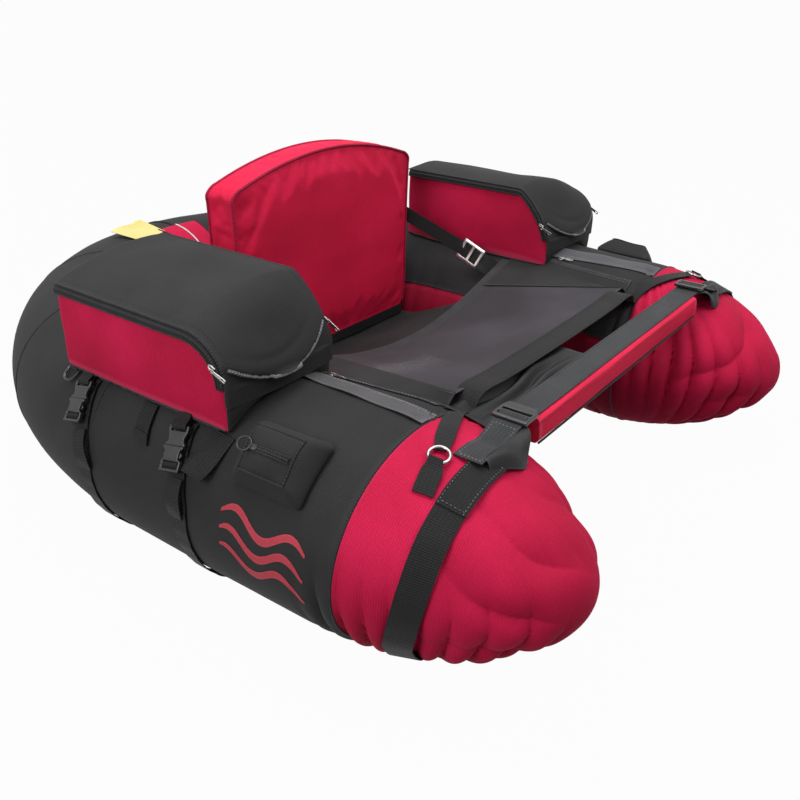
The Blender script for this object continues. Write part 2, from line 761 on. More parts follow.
def off_axis(middle):
    """From the tube's middle line towards a point outside it."""
    side = math.copysign(1, middle.x)
    x, y = section_at(max(middle.y - NOSE_Y, 0.0))[0].x, middle.y
    if middle.y >= BEND_Y:
        turn = math.atan2((middle.y - BEND_Y) / BEND_DEPTH, max(abs(middle.x), 1e-6) / ARM_X)
        x, y = ARM_X * math.cos(turn), BEND_Y + BEND_DEPTH * math.sin(turn)
    return Vector((middle.x - side * x, middle.y - y, middle.z - HALF_HEIGHT))


def top_place(x, y):
    """The angle of the tube's upper side over a point of an arm."""
    middle, _, half_w, _ = section_at(y - NOSE_Y)
    return math.degrees(math.acos(clamp((x - middle.x) / max(half_w, 1e-6), -1, 1)))


def on_top(side, x, y, lift):
    """A point above the arm at (x, y), lifted off the creased cover."""
    return hull(side, y - NOSE_Y, top_place(x, y), lift)


print("tube", round(WHOLE_LENGTH * 2, 3), "m along its middle")


# %% [markdown]
# The cover is sewn from a black upper panel and a red lower panel on each side, and each tip wears a red
# cap. The panels meet at piped seams. They are modelled as separate cuts, a seam's width apart, as on the
# real cover. The bladder stays clear of them, and its tips are drawn in below the deepest pucker.

# %% Bladder, cover panels and tip caps
COVER_WALL = 0.0012
SEAM_HALF = 0.0004
MEAN_RADIUS = 0.153
DEEPEST_CREASE = 0.036
BLADDER_INSET = 0.0085
BLADDER_TIP_INSET = 0.012
BLADDER_FLAT = (WHOLE_LENGTH * 2, 0.95)


def bladder_point(u, v):
    chain = u * 2 - 1
    along = (1 - abs(chain)) * WHOLE_LENGTH
    inset = BLADDER_INSET + DEEPEST_CREASE * (1 - ease(0.24, 0.34, along))
    inset = min(inset, section_at(along)[3] * 0.5) if along >= 0.003 else 0.0
    place = sided(-1 if chain < 0 else 1, bare(along, v * 360.0, -inset))
    return place + Vector((0, BLADDER_TIP_INSET * ease(-0.56, -0.62, place.y), 0))


bladder = grid_sheet("air_bladder_inflated", 120, 32, BLADDER_FLAT, bladder_point, off_axis, 0.0008)
finish_piece(bladder, VINYL, "tube", "air_bladder")


def panel(side, kind, low, high, rows, paint):
    """One panel of the cover between two angles, from the tip's seam to the middle of the rear."""
    name = f"cover_{kind}_{SIDES[side]}"
    start, end = TIP_SEAM + SEAM_HALF, WHOLE_LENGTH - SEAM_HALF
    trim = math.degrees(SEAM_HALF / HALF_HEIGHT)

    def point(u, v):
        along, angle = mix(start, end, u), mix(low + trim, high - trim, v)
        pinch = 0.0016 * (bell(along - start, 0.004) + bell(end - along, 0.005))
        edge = min(angle - low, high - angle) * 0.0026
        pinch += 0.0014 * bell(edge, 0.004)
        pinch *= 1.0 + 0.5 * math.sin(along / 0.011 * math.pi) * bell(edge, 0.012)
        return hull(side, along, angle, -pinch)

    girth = math.radians(high - low) * MEAN_RADIUS
    made = grid_sheet(name + "_cloth", 190, rows, (end - start, girth), point, off_axis, COVER_WALL)
    finish_piece(made, paint, "tube", name)


def tip_cap(side):
    """The cap from the nose to the tip's seam, in rings that lie closer at the nose."""

    def point(u, v):
        along = TIP_SEAM * (1 - math.cos(u * math.pi / 2))
        return hull(side, min(along, TIP_SEAM - SEAM_HALF), v * 360.0)

    name = f"tip_cap_{SIDES[side]}"
    cap = grid_sheet(name + "_cloth", 110, 260, (0.30, 1.0), point, off_axis, COVER_WALL)
    finish_piece(cap, RED_POLYESTER, "tube", name)


for side in SIDES:
    panel(side, "top", OUTER_SEAM, INNER_SEAM, 70, BLACK_POLYESTER)
    panel(side, "bottom", INNER_SEAM, OUTER_SEAM + 360, 48, DARK_RED_POLYESTER)
    tip_cap(side)


# %% [markdown]
# Seams and piping finish the cover. A thin cord is sewn into each long seam, and the black cloth is seamed
# across where its gores meet on the outer side.

# %% Piping and gore seams
PIPE_RADIUS = 0.0016
PIPE_LIFT = 0.0004
GORE_LEAN = 0.015
GORE_SEAMS = (0.655, 0.860, 1.085)


def cover_piping(name, line, radius=PIPE_RADIUS, closed=False):
    cord_line(name, line, radius, PIPING, "tube", closed)


turns = [k * 360 / 96 for k in range(96)]
for side, word in SIDES.items():
    for where, angle in (("outer", OUTER_SEAM), ("inner", INNER_SEAM)):
        places = [mix(TIP_SEAM, WHOLE_LENGTH - 0.002, k / 150) for k in range(151)]
        line = [hull(side, place, angle, PIPE_LIFT) for place in places]
        cover_piping(f"cover_piping_{where}_{word}", line)
    ring = [hull(side, TIP_SEAM, turn, PIPE_LIFT) for turn in turns]
    cover_piping(f"tip_piping_{word}", ring, PIPE_RADIUS * 0.8, True)
    for index, along in enumerate(GORE_SEAMS):
        shares = [k / 48 for k in range(49)]
        line = [hull(side, along + GORE_LEAN * s**2, mix(OUTER_SEAM + 1, 88.0, s), 0.0002) for s in shares]
        cover_piping(f"gore_seam_{index}_{word}", line, 0.0011)
rear = [bare(WHOLE_LENGTH, turn, PIPE_LIFT - crease(1, WHOLE_LENGTH, turn)) for turn in turns]
cover_piping("rear_seam_piping", rear, closed=True)
print("piping done")


# %% [markdown]
# A grey flap covers the zip on top of each arm. It is sewn along its inner edge and lies loose on the
# other, so that edge lifts and waves a little. The real flap folds at the front into the tip's seam.

# %% Zip flaps
FLAP_WIDTH = 0.034
FLAP_WALL = 0.0012


def flap_middle(y):
    return mix(0.360, 0.352, clamp((y + 0.410) / 0.310))


for side, word in SIDES.items():

    def point(u, v):
        y = mix(-0.4095, -0.100, v)
        x = flap_middle(y) + FLAP_WIDTH * (u - 0.5)
        loose = 0.0022 * u**2 * (0.6 + 0.4 * math.sin(v * 21.0)) * (1 - ease(0.88, 1.0, v))
        return on_top(side, x, y, 0.0012 + loose)

    flap = grid_sheet(f"zip_flap_{word}_cloth", 10, 70, (FLAP_WIDTH, 0.310), point, upward, FLAP_WALL, 1.0)
    finish_piece(flap, GREY_POLYESTER, "tube", f"zip_flap_{word}")
    ys = [mix(-0.405, -0.110, k / 40) for k in range(41)]
    rows = [[on_top(side, flap_middle(y) + offset, y, 0.0028) for y in ys] for offset in (-0.014, -0.0105)]
    stitches(f"zip_flap_{word}_stitches", rows, upward, PALE_THREAD, "tube")


# %% [markdown]
# The seat is a net sling. Its middle sags between the arms, most at the rear, and a dark cloth band joins
# it to the sewing line on each arm. A tape stiffens its rear edge, and a wider one in front runs on to the
# rings.

# %% Seat net and its side bands
SEAT_REAR_Y = -0.137
SEAT_FRONT_Y = -0.385
SEWN_ANGLE = 112.5
LEAVE_ANGLE = 127.5
SEWN_SHARE = 0.35
NET_WALL = 0.0011
NET_HALF = (0.216, 0.268)
NET_EDGE_HEIGHT = (0.2466, 0.2846)
NET_SAG = (0.037, 0.006)


def net_height(x, y):
    """The height of the net at (x, y). It hangs in a bow, with a soft dent where people sit."""
    share = (y - SEAT_REAR_Y) / (SEAT_FRONT_Y - SEAT_REAR_Y)
    bow = 1 - clamp(abs(x) / mix(*NET_HALF, share)) ** 2
    dent = 0.0018 * noise.noise(Vector((x * 9, y * 7, 1.7)))
    return mix(*NET_EDGE_HEIGHT, share) + (dent - mix(*NET_SAG, share)) * bow


def net_point(u, v):
    y = mix(SEAT_REAR_Y, SEAT_FRONT_Y, v)
    x = (u * 2 - 1) * mix(*NET_HALF, v)
    return Vector((x, y, net_height(x, y)))


net = grid_sheet("seat_net", 110, 56, (0.50, 0.27), net_point, upward, NET_WALL, 1.0)
finish_piece(net, SEAT_NET, "tube", "seat_panel")


def sewn_point(side, y):
    """Where the seat's side band is sewn to the arm, and where it leaves it."""
    return [hull(side, y - NOSE_Y, mix(SEWN_ANGLE, LEAVE_ANGLE, share), 0.0012) for share in (0, 0.75)]


for side, word in SIDES.items():

    def band_point(u, v):
        y = mix(SEAT_REAR_Y, SEAT_FRONT_Y, v)
        crest, away = sewn_point(side, y)
        edge = net_point((side + 1) / 2, v) + Vector((-side * 0.004, 0, 0.0016))
        wave = Vector((0, 0, 0.0016 * math.sin(v * 26.0) * math.sin(u * math.pi)))
        if u < SEWN_SHARE:
            return crest.lerp(away, u / SEWN_SHARE) + wave * 0.4
        return away.lerp(edge, (u - SEWN_SHARE) / (1 - SEWN_SHARE)) + wave

    band = grid_sheet(f"seat_side_band_{word}", 20, 56, (0.075, 0.27), band_point, upward, NET_WALL, 1.0)
    finish_piece(band, BLACK_POLYESTER, "tube")
    rise = Vector((0, 0, 0.0013))
    rows = [[band_point(offset, k / 30) + rise for k in range(31)] for offset in (0.05, 0.10)]
    stitches(f"seat_side_stitches_{word}", rows, upward, PALE_THREAD, "tube")


# %% Rear tape and front tape
WEB_WALL = 0.0014
WIDE_WEB = 0.038
NARROW_WEB = 0.025
FRONT_TAPE_Y = -0.394


def over_net(xs, y, lift, net_y, mirrored=True):
    """Points over the net's edge. A tape takes the same heights on both sides."""
    return [Vector((x, y, net_height(abs(x) if mirrored else x, net_y) + lift)) for x in xs]


ends = [sewn_point(side, SEAT_REAR_Y)[1] + Vector((0, 0, 0.0012)) for side in (-1, 1)]
xs = (-0.20, -0.15, -0.10, -0.05, 0.0, 0.05, 0.10, 0.15, 0.20)
rear = smooth_line([ends[0], *over_net(xs, SEAT_REAR_Y, 0.0016, SEAT_REAR_Y), ends[1]], 80)
tape(
    "seat_rear_tape", rear, lambda k: Vector((0, 1, 0)), 0.030, WEB_WALL, GREY_WEBBING, "tube",
    node="seat_rear_band",
)

RING_AT = Vector((0.4132, -0.459, 0.2891))
RING_NORMAL = Vector((0.2207, -0.1919, 0.9563))
RING_RADIUS = 0.0125
RING_WIRE = 0.002
RING_REST = RING_RADIUS - 0.0035
TAB_END = (0.456, -0.469)


def to_ring(side):
    """The corner strap's points from the net's corner to the ring."""
    corner = Vector((side * NET_HALF[1], FRONT_TAPE_Y, 0))
    ring = sided(side, RING_AT)
    away = Vector((corner.x - ring.x, corner.y - ring.y, 0)).normalized()
    stop = ring + away * RING_REST
    steps = [corner.lerp(Vector((stop.x, stop.y, 0)), k / 6) for k in range(7)]
    lifts = [0.0036] * 6 + [0.0060]
    return [on_top(side, abs(spot.x), spot.y, lift) for spot, lift in zip(steps, lifts)]


xs = (-0.24, -0.18, -0.12, -0.06, 0.0, 0.06, 0.12, 0.18, 0.24)
front = over_net(xs, FRONT_TAPE_Y, 0.0022, SEAT_FRONT_Y)
front = smooth_line([*reversed(to_ring(-1)), *front, *to_ring(1)], 150)


def front_across(k):
    run = front[min(k + 1, len(front) - 1)] - front[max(k - 1, 0)]
    return Vector((-run.y, run.x, 0)).normalized()


def front_width(k):
    reach = abs(front[k].x)
    return mix(WIDE_WEB, 0.024, ease(0.255, 0.30, reach)) - 0.005 * ease(0.375, 0.403, reach)


tape(
    "seat_front_tape", front, front_across, front_width, WEB_WALL, BLACK_WEBBING, "tube",
    node="seat_front_band",
)
xs = [mix(-0.235, 0.235, k / 40) for k in range(41)]
lift = 0.0022 + WEB_WALL
rows = [over_net(xs, FRONT_TAPE_Y + offset, lift, SEAT_FRONT_Y, False) for offset in (-0.015, 0.015)]
stitches("seat_front_stitches", rows, upward, THREAD, "tube")
print("front tape", round(line_length(front), 3), "m")


# %% [markdown]
# A steel ring joins each corner strap to a short tab on the tip. A torus is already the shape of a welded
# ring. It only needs its weld, so one short stretch is thickened a little. The tab folds round the ring's
# other side.

# %% Steel rings and their tabs
def axes(normal, first):
    """A rotation whose Z is the normal and whose X is as near as can be to the first direction."""
    z_axis = normal.normalized()
    x_axis = (first - z_axis * z_axis.dot(first)).normalized()
    return Matrix((x_axis, z_axis.cross(x_axis), z_axis)).transposed().to_4x4()


def settle(thing, place, turn):
    """Moves a finished mesh from the origin to its place, so that its object stays at the origin."""
    thing.data.transform(Matrix.Translation(place) @ turn)
    thing.data.update()
    return thing


for side, word in SIDES.items():
    select_nothing()
    bpy.ops.mesh.primitive_torus_add(
        major_radius=RING_RADIUS, minor_radius=RING_WIRE, major_segments=64, minor_segments=16
    )
    ring = bpy.context.object
    ring.name = f"steel_ring_{word}"
    for vert in ring.data.vertices:
        turn = math.atan2(vert.co.y, vert.co.x)
        swell = 1 + 0.10 * bell(turn - 1.2, 0.06)
        core = Vector((math.cos(turn), math.sin(turn), 0)) * RING_RADIUS
        vert.co = core + (vert.co - core) * swell
    settle(ring, sided(side, RING_AT), axes(sided(side, RING_NORMAL), Vector((0, 1, 0))))
    finish_piece(ring, NICKEL, "tube", f"strap_ring_{word}")

    centre = sided(side, RING_AT)
    toward = Vector((side * TAB_END[0] - centre.x, TAB_END[1] - centre.y, 0)).normalized()
    spots = [centre + toward * RING_REST + Vector((0, 0, 0.0020))]
    for reach, lift in ((0.004, 0.0042), (0.014, 0.0028), (0.028, 0.0014), (0.036, 0.0010)):
        spot = centre + toward * (RING_RADIUS + reach)
        spots.append(on_top(side, abs(spot.x), spot.y, lift))
    line = smooth_line(spots, 24)
    across = Vector((-toward.y, toward.x, 0)) * side
    slope = (across - Vector((0, 0, across.dot(sided(side, RING_NORMAL)) / RING_NORMAL.z))).normalized()

    def tab_width(k):
        return mix(0.018, NARROW_WEB, ease(2, 10, k))

    name = f"ring_tab_{word}"
    tape(name + "_webbing", line, lambda k: slope, tab_width, 0.0022, BLACK_WEBBING, "tube", node=name)
print("rings done")


# %% [markdown]
# Black cloth closes the space between the seat's rear tape and the backrest's foot. It hangs slack.

# %% Cloth behind the seat
def inner_reach(y, z):
    """How far the tube's inner side lies from the middle at y, at the height z."""
    rise = clamp((z - HALF_HEIGHT) / HALF_HEIGHT, -1, 1)
    angle = 180 - math.degrees(math.asin(rise))
    if y < BEND_Y:
        return bare(y - NOSE_Y, angle).x
    low, high = ARM_LENGTH, WHOLE_LENGTH * 0.9
    for _ in range(24):
        middle = (low + high) / 2
        if bare(middle, angle).y < y:
            low = middle
        else:
            high = middle
    return bare(low, angle).x


BASE_FRONT_Y = -0.118


def base_point(u, v):
    y = mix(BASE_FRONT_Y, 0.125, v)
    across = u * 2 - 1
    run = clamp((y - BASE_FRONT_Y) / 0.156)
    low, rise = mix(0.200, 0.146, ease(0, 1, run) * 0.3 + run * 0.7), 0.009 * (1 - run)
    half = inner_reach(y, low + rise) - 0.0010
    slack = 0.0035 * math.sin(across * 9.0 + v * 2.0) * math.sin(v * math.pi) * (1 - across**2)
    return Vector((half * across, y, low + rise * across**2 - 0.0008 + slack * 0.6))


base = grid_sheet("seat_base_cloth", 60, 34, (0.45, 0.25), base_point, upward, NET_WALL, 0.0)
finish_piece(base, BLACK_POLYESTER, "tube", "seat_base")


# %% [markdown]
# Boxy soft pieces start as a cube. Its edges along each axis are subdivided, so that it has enough points
# to bend, and every point then moves to its place on the sewn form. One helper rounds the box's edges as
# stuffing would.

# %% Boxes with many points
def select_parts(thing, kind, wanted):
    """Edit mode with only the wanted edges or faces selected."""
    take(thing)
    bpy.ops.object.mode_set(mode="EDIT")
    bpy.ops.mesh.select_mode(type=kind)
    bpy.ops.mesh.select_all(action="DESELECT")
    bpy.ops.object.mode_set(mode="OBJECT")
    for part in thing.data.edges if kind == "EDGE" else thing.data.polygons:
        part.select = wanted(part)
    bpy.ops.object.mode_set(mode="EDIT")


def cut_box(name, cuts):
    """A cube from -0.5 to 0.5 whose edges along X, Y and Z are cut into that many more pieces."""
    select_nothing()
    bpy.ops.mesh.primitive_cube_add(size=1.0)
    made = bpy.context.object
    made.name = name
    for axis, count in enumerate(cuts):

        def uncut(edge):
            a, b = (made.data.vertices[k].co for k in edge.vertices)
            return abs(a[axis] - b[axis]) > 0.5

        select_parts(made, "EDGE", uncut)
        bpy.ops.mesh.subdivide(number_cuts=count)
        bpy.ops.object.mode_set(mode="OBJECT")
    return made


def rounded(place, half, radius):
    """A point on a box of those half sizes, moved on to its rounded edges and corners."""
    inner = Vector([clamp(c, radius - h, h - radius) for c, h in zip(place, half)])
    away = place - inner
    return inner + away.normalized() * radius if away.length > 1e-9 else place


def drop_faces(thing, keep_out):
    """Deletes the faces whose middle answers true."""
    select_parts(thing, "FACE", lambda face: keep_out(face.center))
    bpy.ops.mesh.delete(type="FACE")
    bpy.ops.object.mode_set(mode="OBJECT")


def tree_of(spots):
    """A tree that finds the nearest of the spots."""
    made = kdtree.KDTree(len(spots))
    for index, spot in enumerate(spots):
        made.insert(spot, index)
    made.balance()
    return made


# %% [markdown]
# The backrest is a foam block in a boxed cover: a front and a back panel, joined by a strip with piping
# along both seams. Its top is arched, and the foam crowns the panels. A black band of webbing closes the
# foot. The block gets its true outline first. A short cloth simulation then swells the cover between its
# held seams, which gives it real wrinkles.

# %% Backrest
BACK_FRONT_Y = 0.052
BACK_REAR_Y = 0.107
BACK_FOOT_Z = 0.150
BACK_CORNER_Z = 0.462
BACK_TOP_Z = 0.503
BACK_HALF_W = 0.2255
BACK_FOOT_HALF = 0.2140
BACK_MIDDLE_Y = (BACK_FRONT_Y + BACK_REAR_Y) / 2
BACK_HALF_DEPTH = (BACK_REAR_Y - BACK_FRONT_Y) / 2
CUSHION_CROWN = 0.0035
CUSHION_VOXEL = 0.0055
CUSHION_PRESSURE = 2.0
CUSHION_FURTHEST = 0.009
SIMULATED_FRAMES = 20
SEWN_REACH = 0.010


def back_outline(across, rise):
    """The cushion's place seen from the front: across is -1 to 1, and rise 0 at the foot and 1 at the top."""
    top = mix(BACK_TOP_Z, BACK_CORNER_Z, across**2) - 0.006 * ease(0.95, 1.0, abs(across)) * rise
    z = mix(BACK_FOOT_Z, top, rise)
    half = mix(BACK_FOOT_HALF, BACK_HALF_W, clamp((z - BACK_FOOT_Z) / 0.075))
    pull = 0.0035 * (1 - (rise * 2 - 1) ** 2)
    return across * (half - pull), z


def cushion_point(place):
    a, b, c = place.x * 2, place.y * 2, place.z + 0.5
    x, z = back_outline(a, c)
    crown = CUSHION_CROWN * (1 - a**4) * (1 - (c * 2 - 1) ** 4)
    return Vector((x, BACK_MIDDLE_Y + b * (BACK_HALF_DEPTH + crown), z))


def plump(thing, seams):
    """Swells a closed piece with the cloth simulation. Its seams hold, and no point moves too far."""
    modify(thing, "REMESH", mode="VOXEL", voxel_size=CUSHION_VOXEL)
    rest = [v.co.copy() for v in thing.data.vertices]
    near = tree_of(seams)
    held = thing.vertex_groups.new(name="seams")
    for vert in thing.data.vertices:
        if near.find(vert.co)[2] < CUSHION_VOXEL * 1.5:
            held.add([vert.index], 1.0, "REPLACE")
    cloth_modifier = thing.modifiers.new("cloth", "CLOTH")
    settings = cloth_modifier.settings
    settings.use_pressure = True
    settings.uniform_pressure_force = CUSHION_PRESSURE
    settings.quality = 4
    settings.tension_stiffness = 12
    settings.compression_stiffness = 12
    settings.bending_stiffness = 0.4
    settings.vertex_group_mass = "seams"
    settings.shrink_min = -0.02
    settings.effector_weights.gravity = 0
    cloth_modifier.point_cache.frame_start = 1
    cloth_modifier.point_cache.frame_end = SIMULATED_FRAMES
    for step in range(1, SIMULATED_FRAMES + 1):
        scene.frame_set(step)
    bpy.ops.object.modifier_apply(modifier="cloth")
    scene.frame_set(1)
    furthest = 0.0
    for vert, start in zip(thing.data.vertices, rest):
        moved = vert.co - start
        furthest = max(furthest, moved.length)
        if moved.length > CUSHION_FURTHEST:
            vert.co = start + moved * (CUSHION_FURTHEST / moved.length)
    return furthest


seams, foot_seams = {}, []
for where, y in (("front", BACK_FRONT_Y), ("rear", BACK_REAR_Y)):
    corners = [back_outline(-1.0, k / 26) for k in range(2, 27)]
    corners += [back_outline(mix(-1, 1, k / 40), 1.0) for k in range(1, 40)]
    corners += [back_outline(1.0, k / 26) for k in range(26, 1, -1)]
    seams[where] = smooth_line([Vector((x, y, z)) for x, z in corners], 220)
    for rise in (0.0, 0.02, 0.04, 0.058):
        row = [back_outline(mix(-1, 1, k / 100), rise) for k in range(101)]
        foot_seams += [Vector((x, y, z)) for x, z in row]

cushion = cut_box("backrest_cushion_cover", (44, 8, 34))
for vert in cushion.data.vertices:
    vert.co = cushion_point(vert.co)
print("cushion swelled by", round(plump(cushion, seams["front"] + seams["rear"] + foot_seams), 4))
for vert in cushion.data.vertices:
    x, y, z = vert.co
    if min(y - BACK_FRONT_Y, BACK_REAR_Y - y) < 0.004:
        tuck = 0.00256 * max(noise.noise(Vector((x * 5.4, y * 5, z * 16.2))), 0.0)
        edge = max(abs(x) / BACK_HALF_W, (z - BACK_FOOT_Z) / 0.35)
        ripple = 0.0014 * math.sin((x + z) / 0.017 * math.pi) * ease(0.80, 1.0, edge)
        vert.co.y += math.copysign(tuck + abs(ripple), BACK_MIDDLE_Y - y)
    vert.co.z = max(z, BACK_FOOT_Z)
modify(cushion, "SUBSURF", levels=1, render_levels=1)
sewn = tree_of(smooth_line(seams["front"], 1200) + smooth_line(seams["rear"], 1200))
for vert in cushion.data.vertices:
    spot, _, away = sewn.find(vert.co)
    if away < SEWN_REACH:
        vert.co = vert.co.lerp(spot, 1 - (away / SEWN_REACH) ** 2)
box_uv(cushion)
finish_piece(cushion, SOFT_RED, "backrest", "backrest_cushion", smooth=60.0)

for where, line in seams.items():
    cord_line(f"backrest_piping_{where}", line, 0.0024, RED_PIPING, "backrest")

foot = cut_box("backrest_foot_band", (30, 6, 3))
for vert in foot.data.vertices:
    a, b, c = vert.co
    spot = rounded(Vector((a * 2, b * 2, 0)), (1.0, 1.0, 1.0), 0.03)
    x, y = spot.x * (BACK_FOOT_HALF + 0.0012), BACK_MIDDLE_Y + spot.y * (BACK_HALF_DEPTH + 0.0016)
    vert.co = Vector((x, y, mix(BACK_FOOT_Z - 0.0006, 0.168, c + 0.5)))
box_uv(foot)
finish_piece(foot, BLACK_WEBBING, "backrest")


# %% [markdown]
# Webbing holds the backrest up on each side. It is sewn to the backrest's edge, runs forward and down to
# the arm's shoulder, and passes through a flat steel slider. It has to bend when the backrest folds, so it
# is blended.

# %% Backrest straps
SLIDER_AT = Vector((0.265, -0.075, 0.285))


def block(name, size, cuts_x=(), cuts_y=()):
    """A block of that size at the origin, cut by planes across X and Y."""
    select_nothing()
    bpy.ops.mesh.primitive_cube_add(size=1.0, scale=size)
    made = bpy.context.object
    made.name = name
    bpy.ops.object.transform_apply(location=False, rotation=False, scale=True)
    bpy.ops.object.mode_set(mode="EDIT")
    for axis, places in ((0, cuts_x), (1, cuts_y)):
        for spot in places:
            bpy.ops.mesh.select_all(action="SELECT")
            point, normal = [0, 0, 0], [0, 0, 0]
            point[axis], normal[axis] = spot, 1
            bpy.ops.mesh.bisect(plane_co=point, plane_no=normal)
    bpy.ops.object.mode_set(mode="OBJECT")
    return made


def open_slots(thing, slots):
    """Opens each slot (x0, x1, y0, y1) through the block: its top and bottom faces are bridged."""
    for x0, x1, y0, y1 in slots:

        def over_slot(face):
            x, y, _ = face.center
            return abs(face.normal.z) > 0.9 and x0 < x < x1 and y0 < y < y1

        select_parts(thing, "FACE", over_slot)
        bpy.ops.mesh.bridge_edge_loops()
        bpy.ops.object.mode_set(mode="OBJECT")


def soften(thing, width, segments=2):
    limit = math.radians(30)
    return modify(thing, "BEVEL", width=width, segments=segments, limit_method="ANGLE", angle_limit=limit)


def copy_of(thing, name):
    """Another object with its own mesh."""
    made = bpy.data.objects.new(name, thing.data.copy())
    scene.collection.objects.link(made)
    return made


def discard(*things):
    for thing in things:
        bpy.data.objects.remove(thing)


steel_slider = block("steel_slider", (0.048, 0.040, 0.002), (-0.018, -0.003, 0.003, 0.018), (-0.014, 0.014))
open_slots(steel_slider, [(-0.018, -0.003, -0.014, 0.014), (0.003, 0.018, -0.014, 0.014)])
soften(steel_slider, 0.0006)
box_uv(steel_slider)

for side, word in SIDES.items():
    beside = BACK_HALF_W + 0.0020
    points = [
        Vector((beside, 0.0845, 0.3615)), Vector((beside, 0.0545, 0.3475)), Vector((0.246, -0.010, 0.3165)),
        SLIDER_AT, Vector((0.268, -0.102, 0.2715)), hull(1, -0.122 - NOSE_Y, 135, 0.0014),
        hull(1, -0.136 - NOSE_Y, 135, 0.0012),
    ]
    line = smooth_line([sided(side, p) for p in points], 60)
    high = Vector((0, 0.42, 0.91))
    flat = (bare(0.52, 136) - bare(0.52, 134)).normalized()
    low = sided(side, flat * math.copysign(1, flat.z))

    def across(k):
        return high.lerp(low, ease(34, 54, k)).normalized()

    strap = tape(f"backrest_strap_{word}_webbing", line, across, 0.037, WEB_WALL, BLACK_WEBBING, "tube")
    strap.parent = None
    del strap["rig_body"]
    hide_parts(f"backrest_strap_{word}")
    start, end = sided(side, Vector((0.255, -0.045, 0.300))), sided(side, Vector((beside, 0.052, 0.345)))
    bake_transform(strap)
    slider = copy_of(steel_slider, f"backrest_slider_{word}_steel")
    run = sided(side, Vector((0.019, -0.092, -0.044))).normalized()
    out = Vector((-side, 0, 0)) + Vector((0, -0.15, 0.25))
    turn = axes(out, run)
    settle(slider, sided(side, SLIDER_AT) + out.normalized() * 0.0028, turn)
    finish_piece(slider, NICKEL, "tube", f"backrest_slider_{word}")
discard(steel_slider)
print("backrest done")


# %% [markdown]
# Each cargo bag is a tub of cloth that sags on the arm: red side panels, black front and floor, and a
# crowned black lid that a zip joins to the sides. The walls bulge with what is inside. The front corners of
# the side panels are round, where the zip runs down to the mouth. The lid ends in a piped lip that hangs
# over in a bow.

# %% Cargo bag bodies
BAG_IN, BAG_OUT = 0.310, 0.500
BAG_FRONT, BAG_REAR = -0.212, 0.110
BAG_MOUTH_Z = 0.325
BAG_ROUND = 0.066
BAG_FALL_Y = BAG_FRONT + BAG_ROUND
BAG_WIDTH = BAG_OUT - BAG_IN
BAG_CLEAR = 0.0030
BAG_WALL = 0.0016


def lid_height(x):
    share = (x - BAG_IN) / BAG_WIDTH
    return mix(0.411, 0.384, share) + 0.0135 * (1 - (share * 2 - 1) ** 2)


def front_profile(x, share):
    """How the top falls to the mouth in front: round at the outer side, more of a slope at the inner one."""
    circle = math.sqrt(max(1 - share**2, 0.0))
    slope = 1 - share**1.25
    return mix(mix(slope, circle, 0.35), circle, ease(0.0, 0.9, (x - BAG_IN) / BAG_WIDTH))


def rim_height(x, y):
    share = clamp((BAG_FALL_Y - y) / BAG_ROUND)
    return mix(BAG_MOUTH_Z, lid_height(x), front_profile(x, share))


def bag_floor(x, y):
    """The floor rests on the arm and lifts off it towards its outer edge."""
    if y <= BEND_Y:
        resting = bare(y - NOSE_Y, top_place(x, y)).z
    else:
        middle = ARM_X * math.sqrt(1 - ((y - BEND_Y) / BEND_DEPTH) ** 2)
        resting = HALF_HEIGHT * (1 + math.sqrt(max(1 - ((x - middle) / ARM_HALF_W) ** 2, 0.0)))
    share = (x - ARM_X) / (BAG_OUT - ARM_X)
    hung = mix(2 * HALF_HEIGHT + BAG_CLEAR, 0.268, min(share, 1) ** 2) if share > 0 else 0.0
    return max(resting + BAG_CLEAR, hung)


def bag_point(side, place):
    a, b, c = place.x * 2, place.y * 2, place.z + 0.5
    half = Vector((BAG_WIDTH / 2, (BAG_REAR - BAG_FRONT) / 2, 1.0))
    spot = rounded(Vector((a * half.x, b * half.y, 0)), (half.x, half.y, 1.0), 0.007)
    x = (BAG_IN + BAG_OUT) / 2 + spot.x
    y = (BAG_FRONT + BAG_REAR) / 2 + spot.y
    z = mix(bag_floor(x, y), rim_height(x, y) - 0.0008, c)
    unevenness = noise.noise(Vector((x * 16, y * 11, z * 13 + side * 5)))
    belly = math.sin(math.pi * clamp(c) ** 0.8)
    if abs(a) > 0.98:
        x += math.copysign((0.0050 * (1 - b**4) + 0.0030 * unevenness) * belly, a)
    if abs(b) > 0.98:
        swell = (0.0060 * (1 - a**4) + 0.0028 * unevenness) * belly
        y += math.copysign(swell if b < 0 else swell * 0.5, b)
    return sided(side, (x, y, z))


for side, word in SIDES.items():
    tub = cut_box(f"bag_body_{word}_cloth", (40, 60, 16))
    drop_faces(tub, lambda middle: middle.z > 0.4999)
    marks = [abs(face.center.x) > 0.4999 and face.center.z < 0.42 for face in tub.data.polygons]
    for vert in tub.data.vertices:
        vert.co = bag_point(side, vert.co)
    face_outwards(tub)
    for paint in (BLACK_POLYESTER, RED_POLYESTER):
        tub.data.materials.append(paint)
    for face in tub.data.polygons:
        face.material_index = int(marks[face.index])
    modify(tub, "SOLIDIFY", thickness=BAG_WALL, offset=-1.0)
    box_uv(tub)
    finish_piece(tub, [], "tube", f"bag_body_{word}", smooth=50.0)


# %% Zip tape, teeth and panel piping of the bags
ZIP_TAPE = 0.009
STRAIGHT_SHARE = 0.72


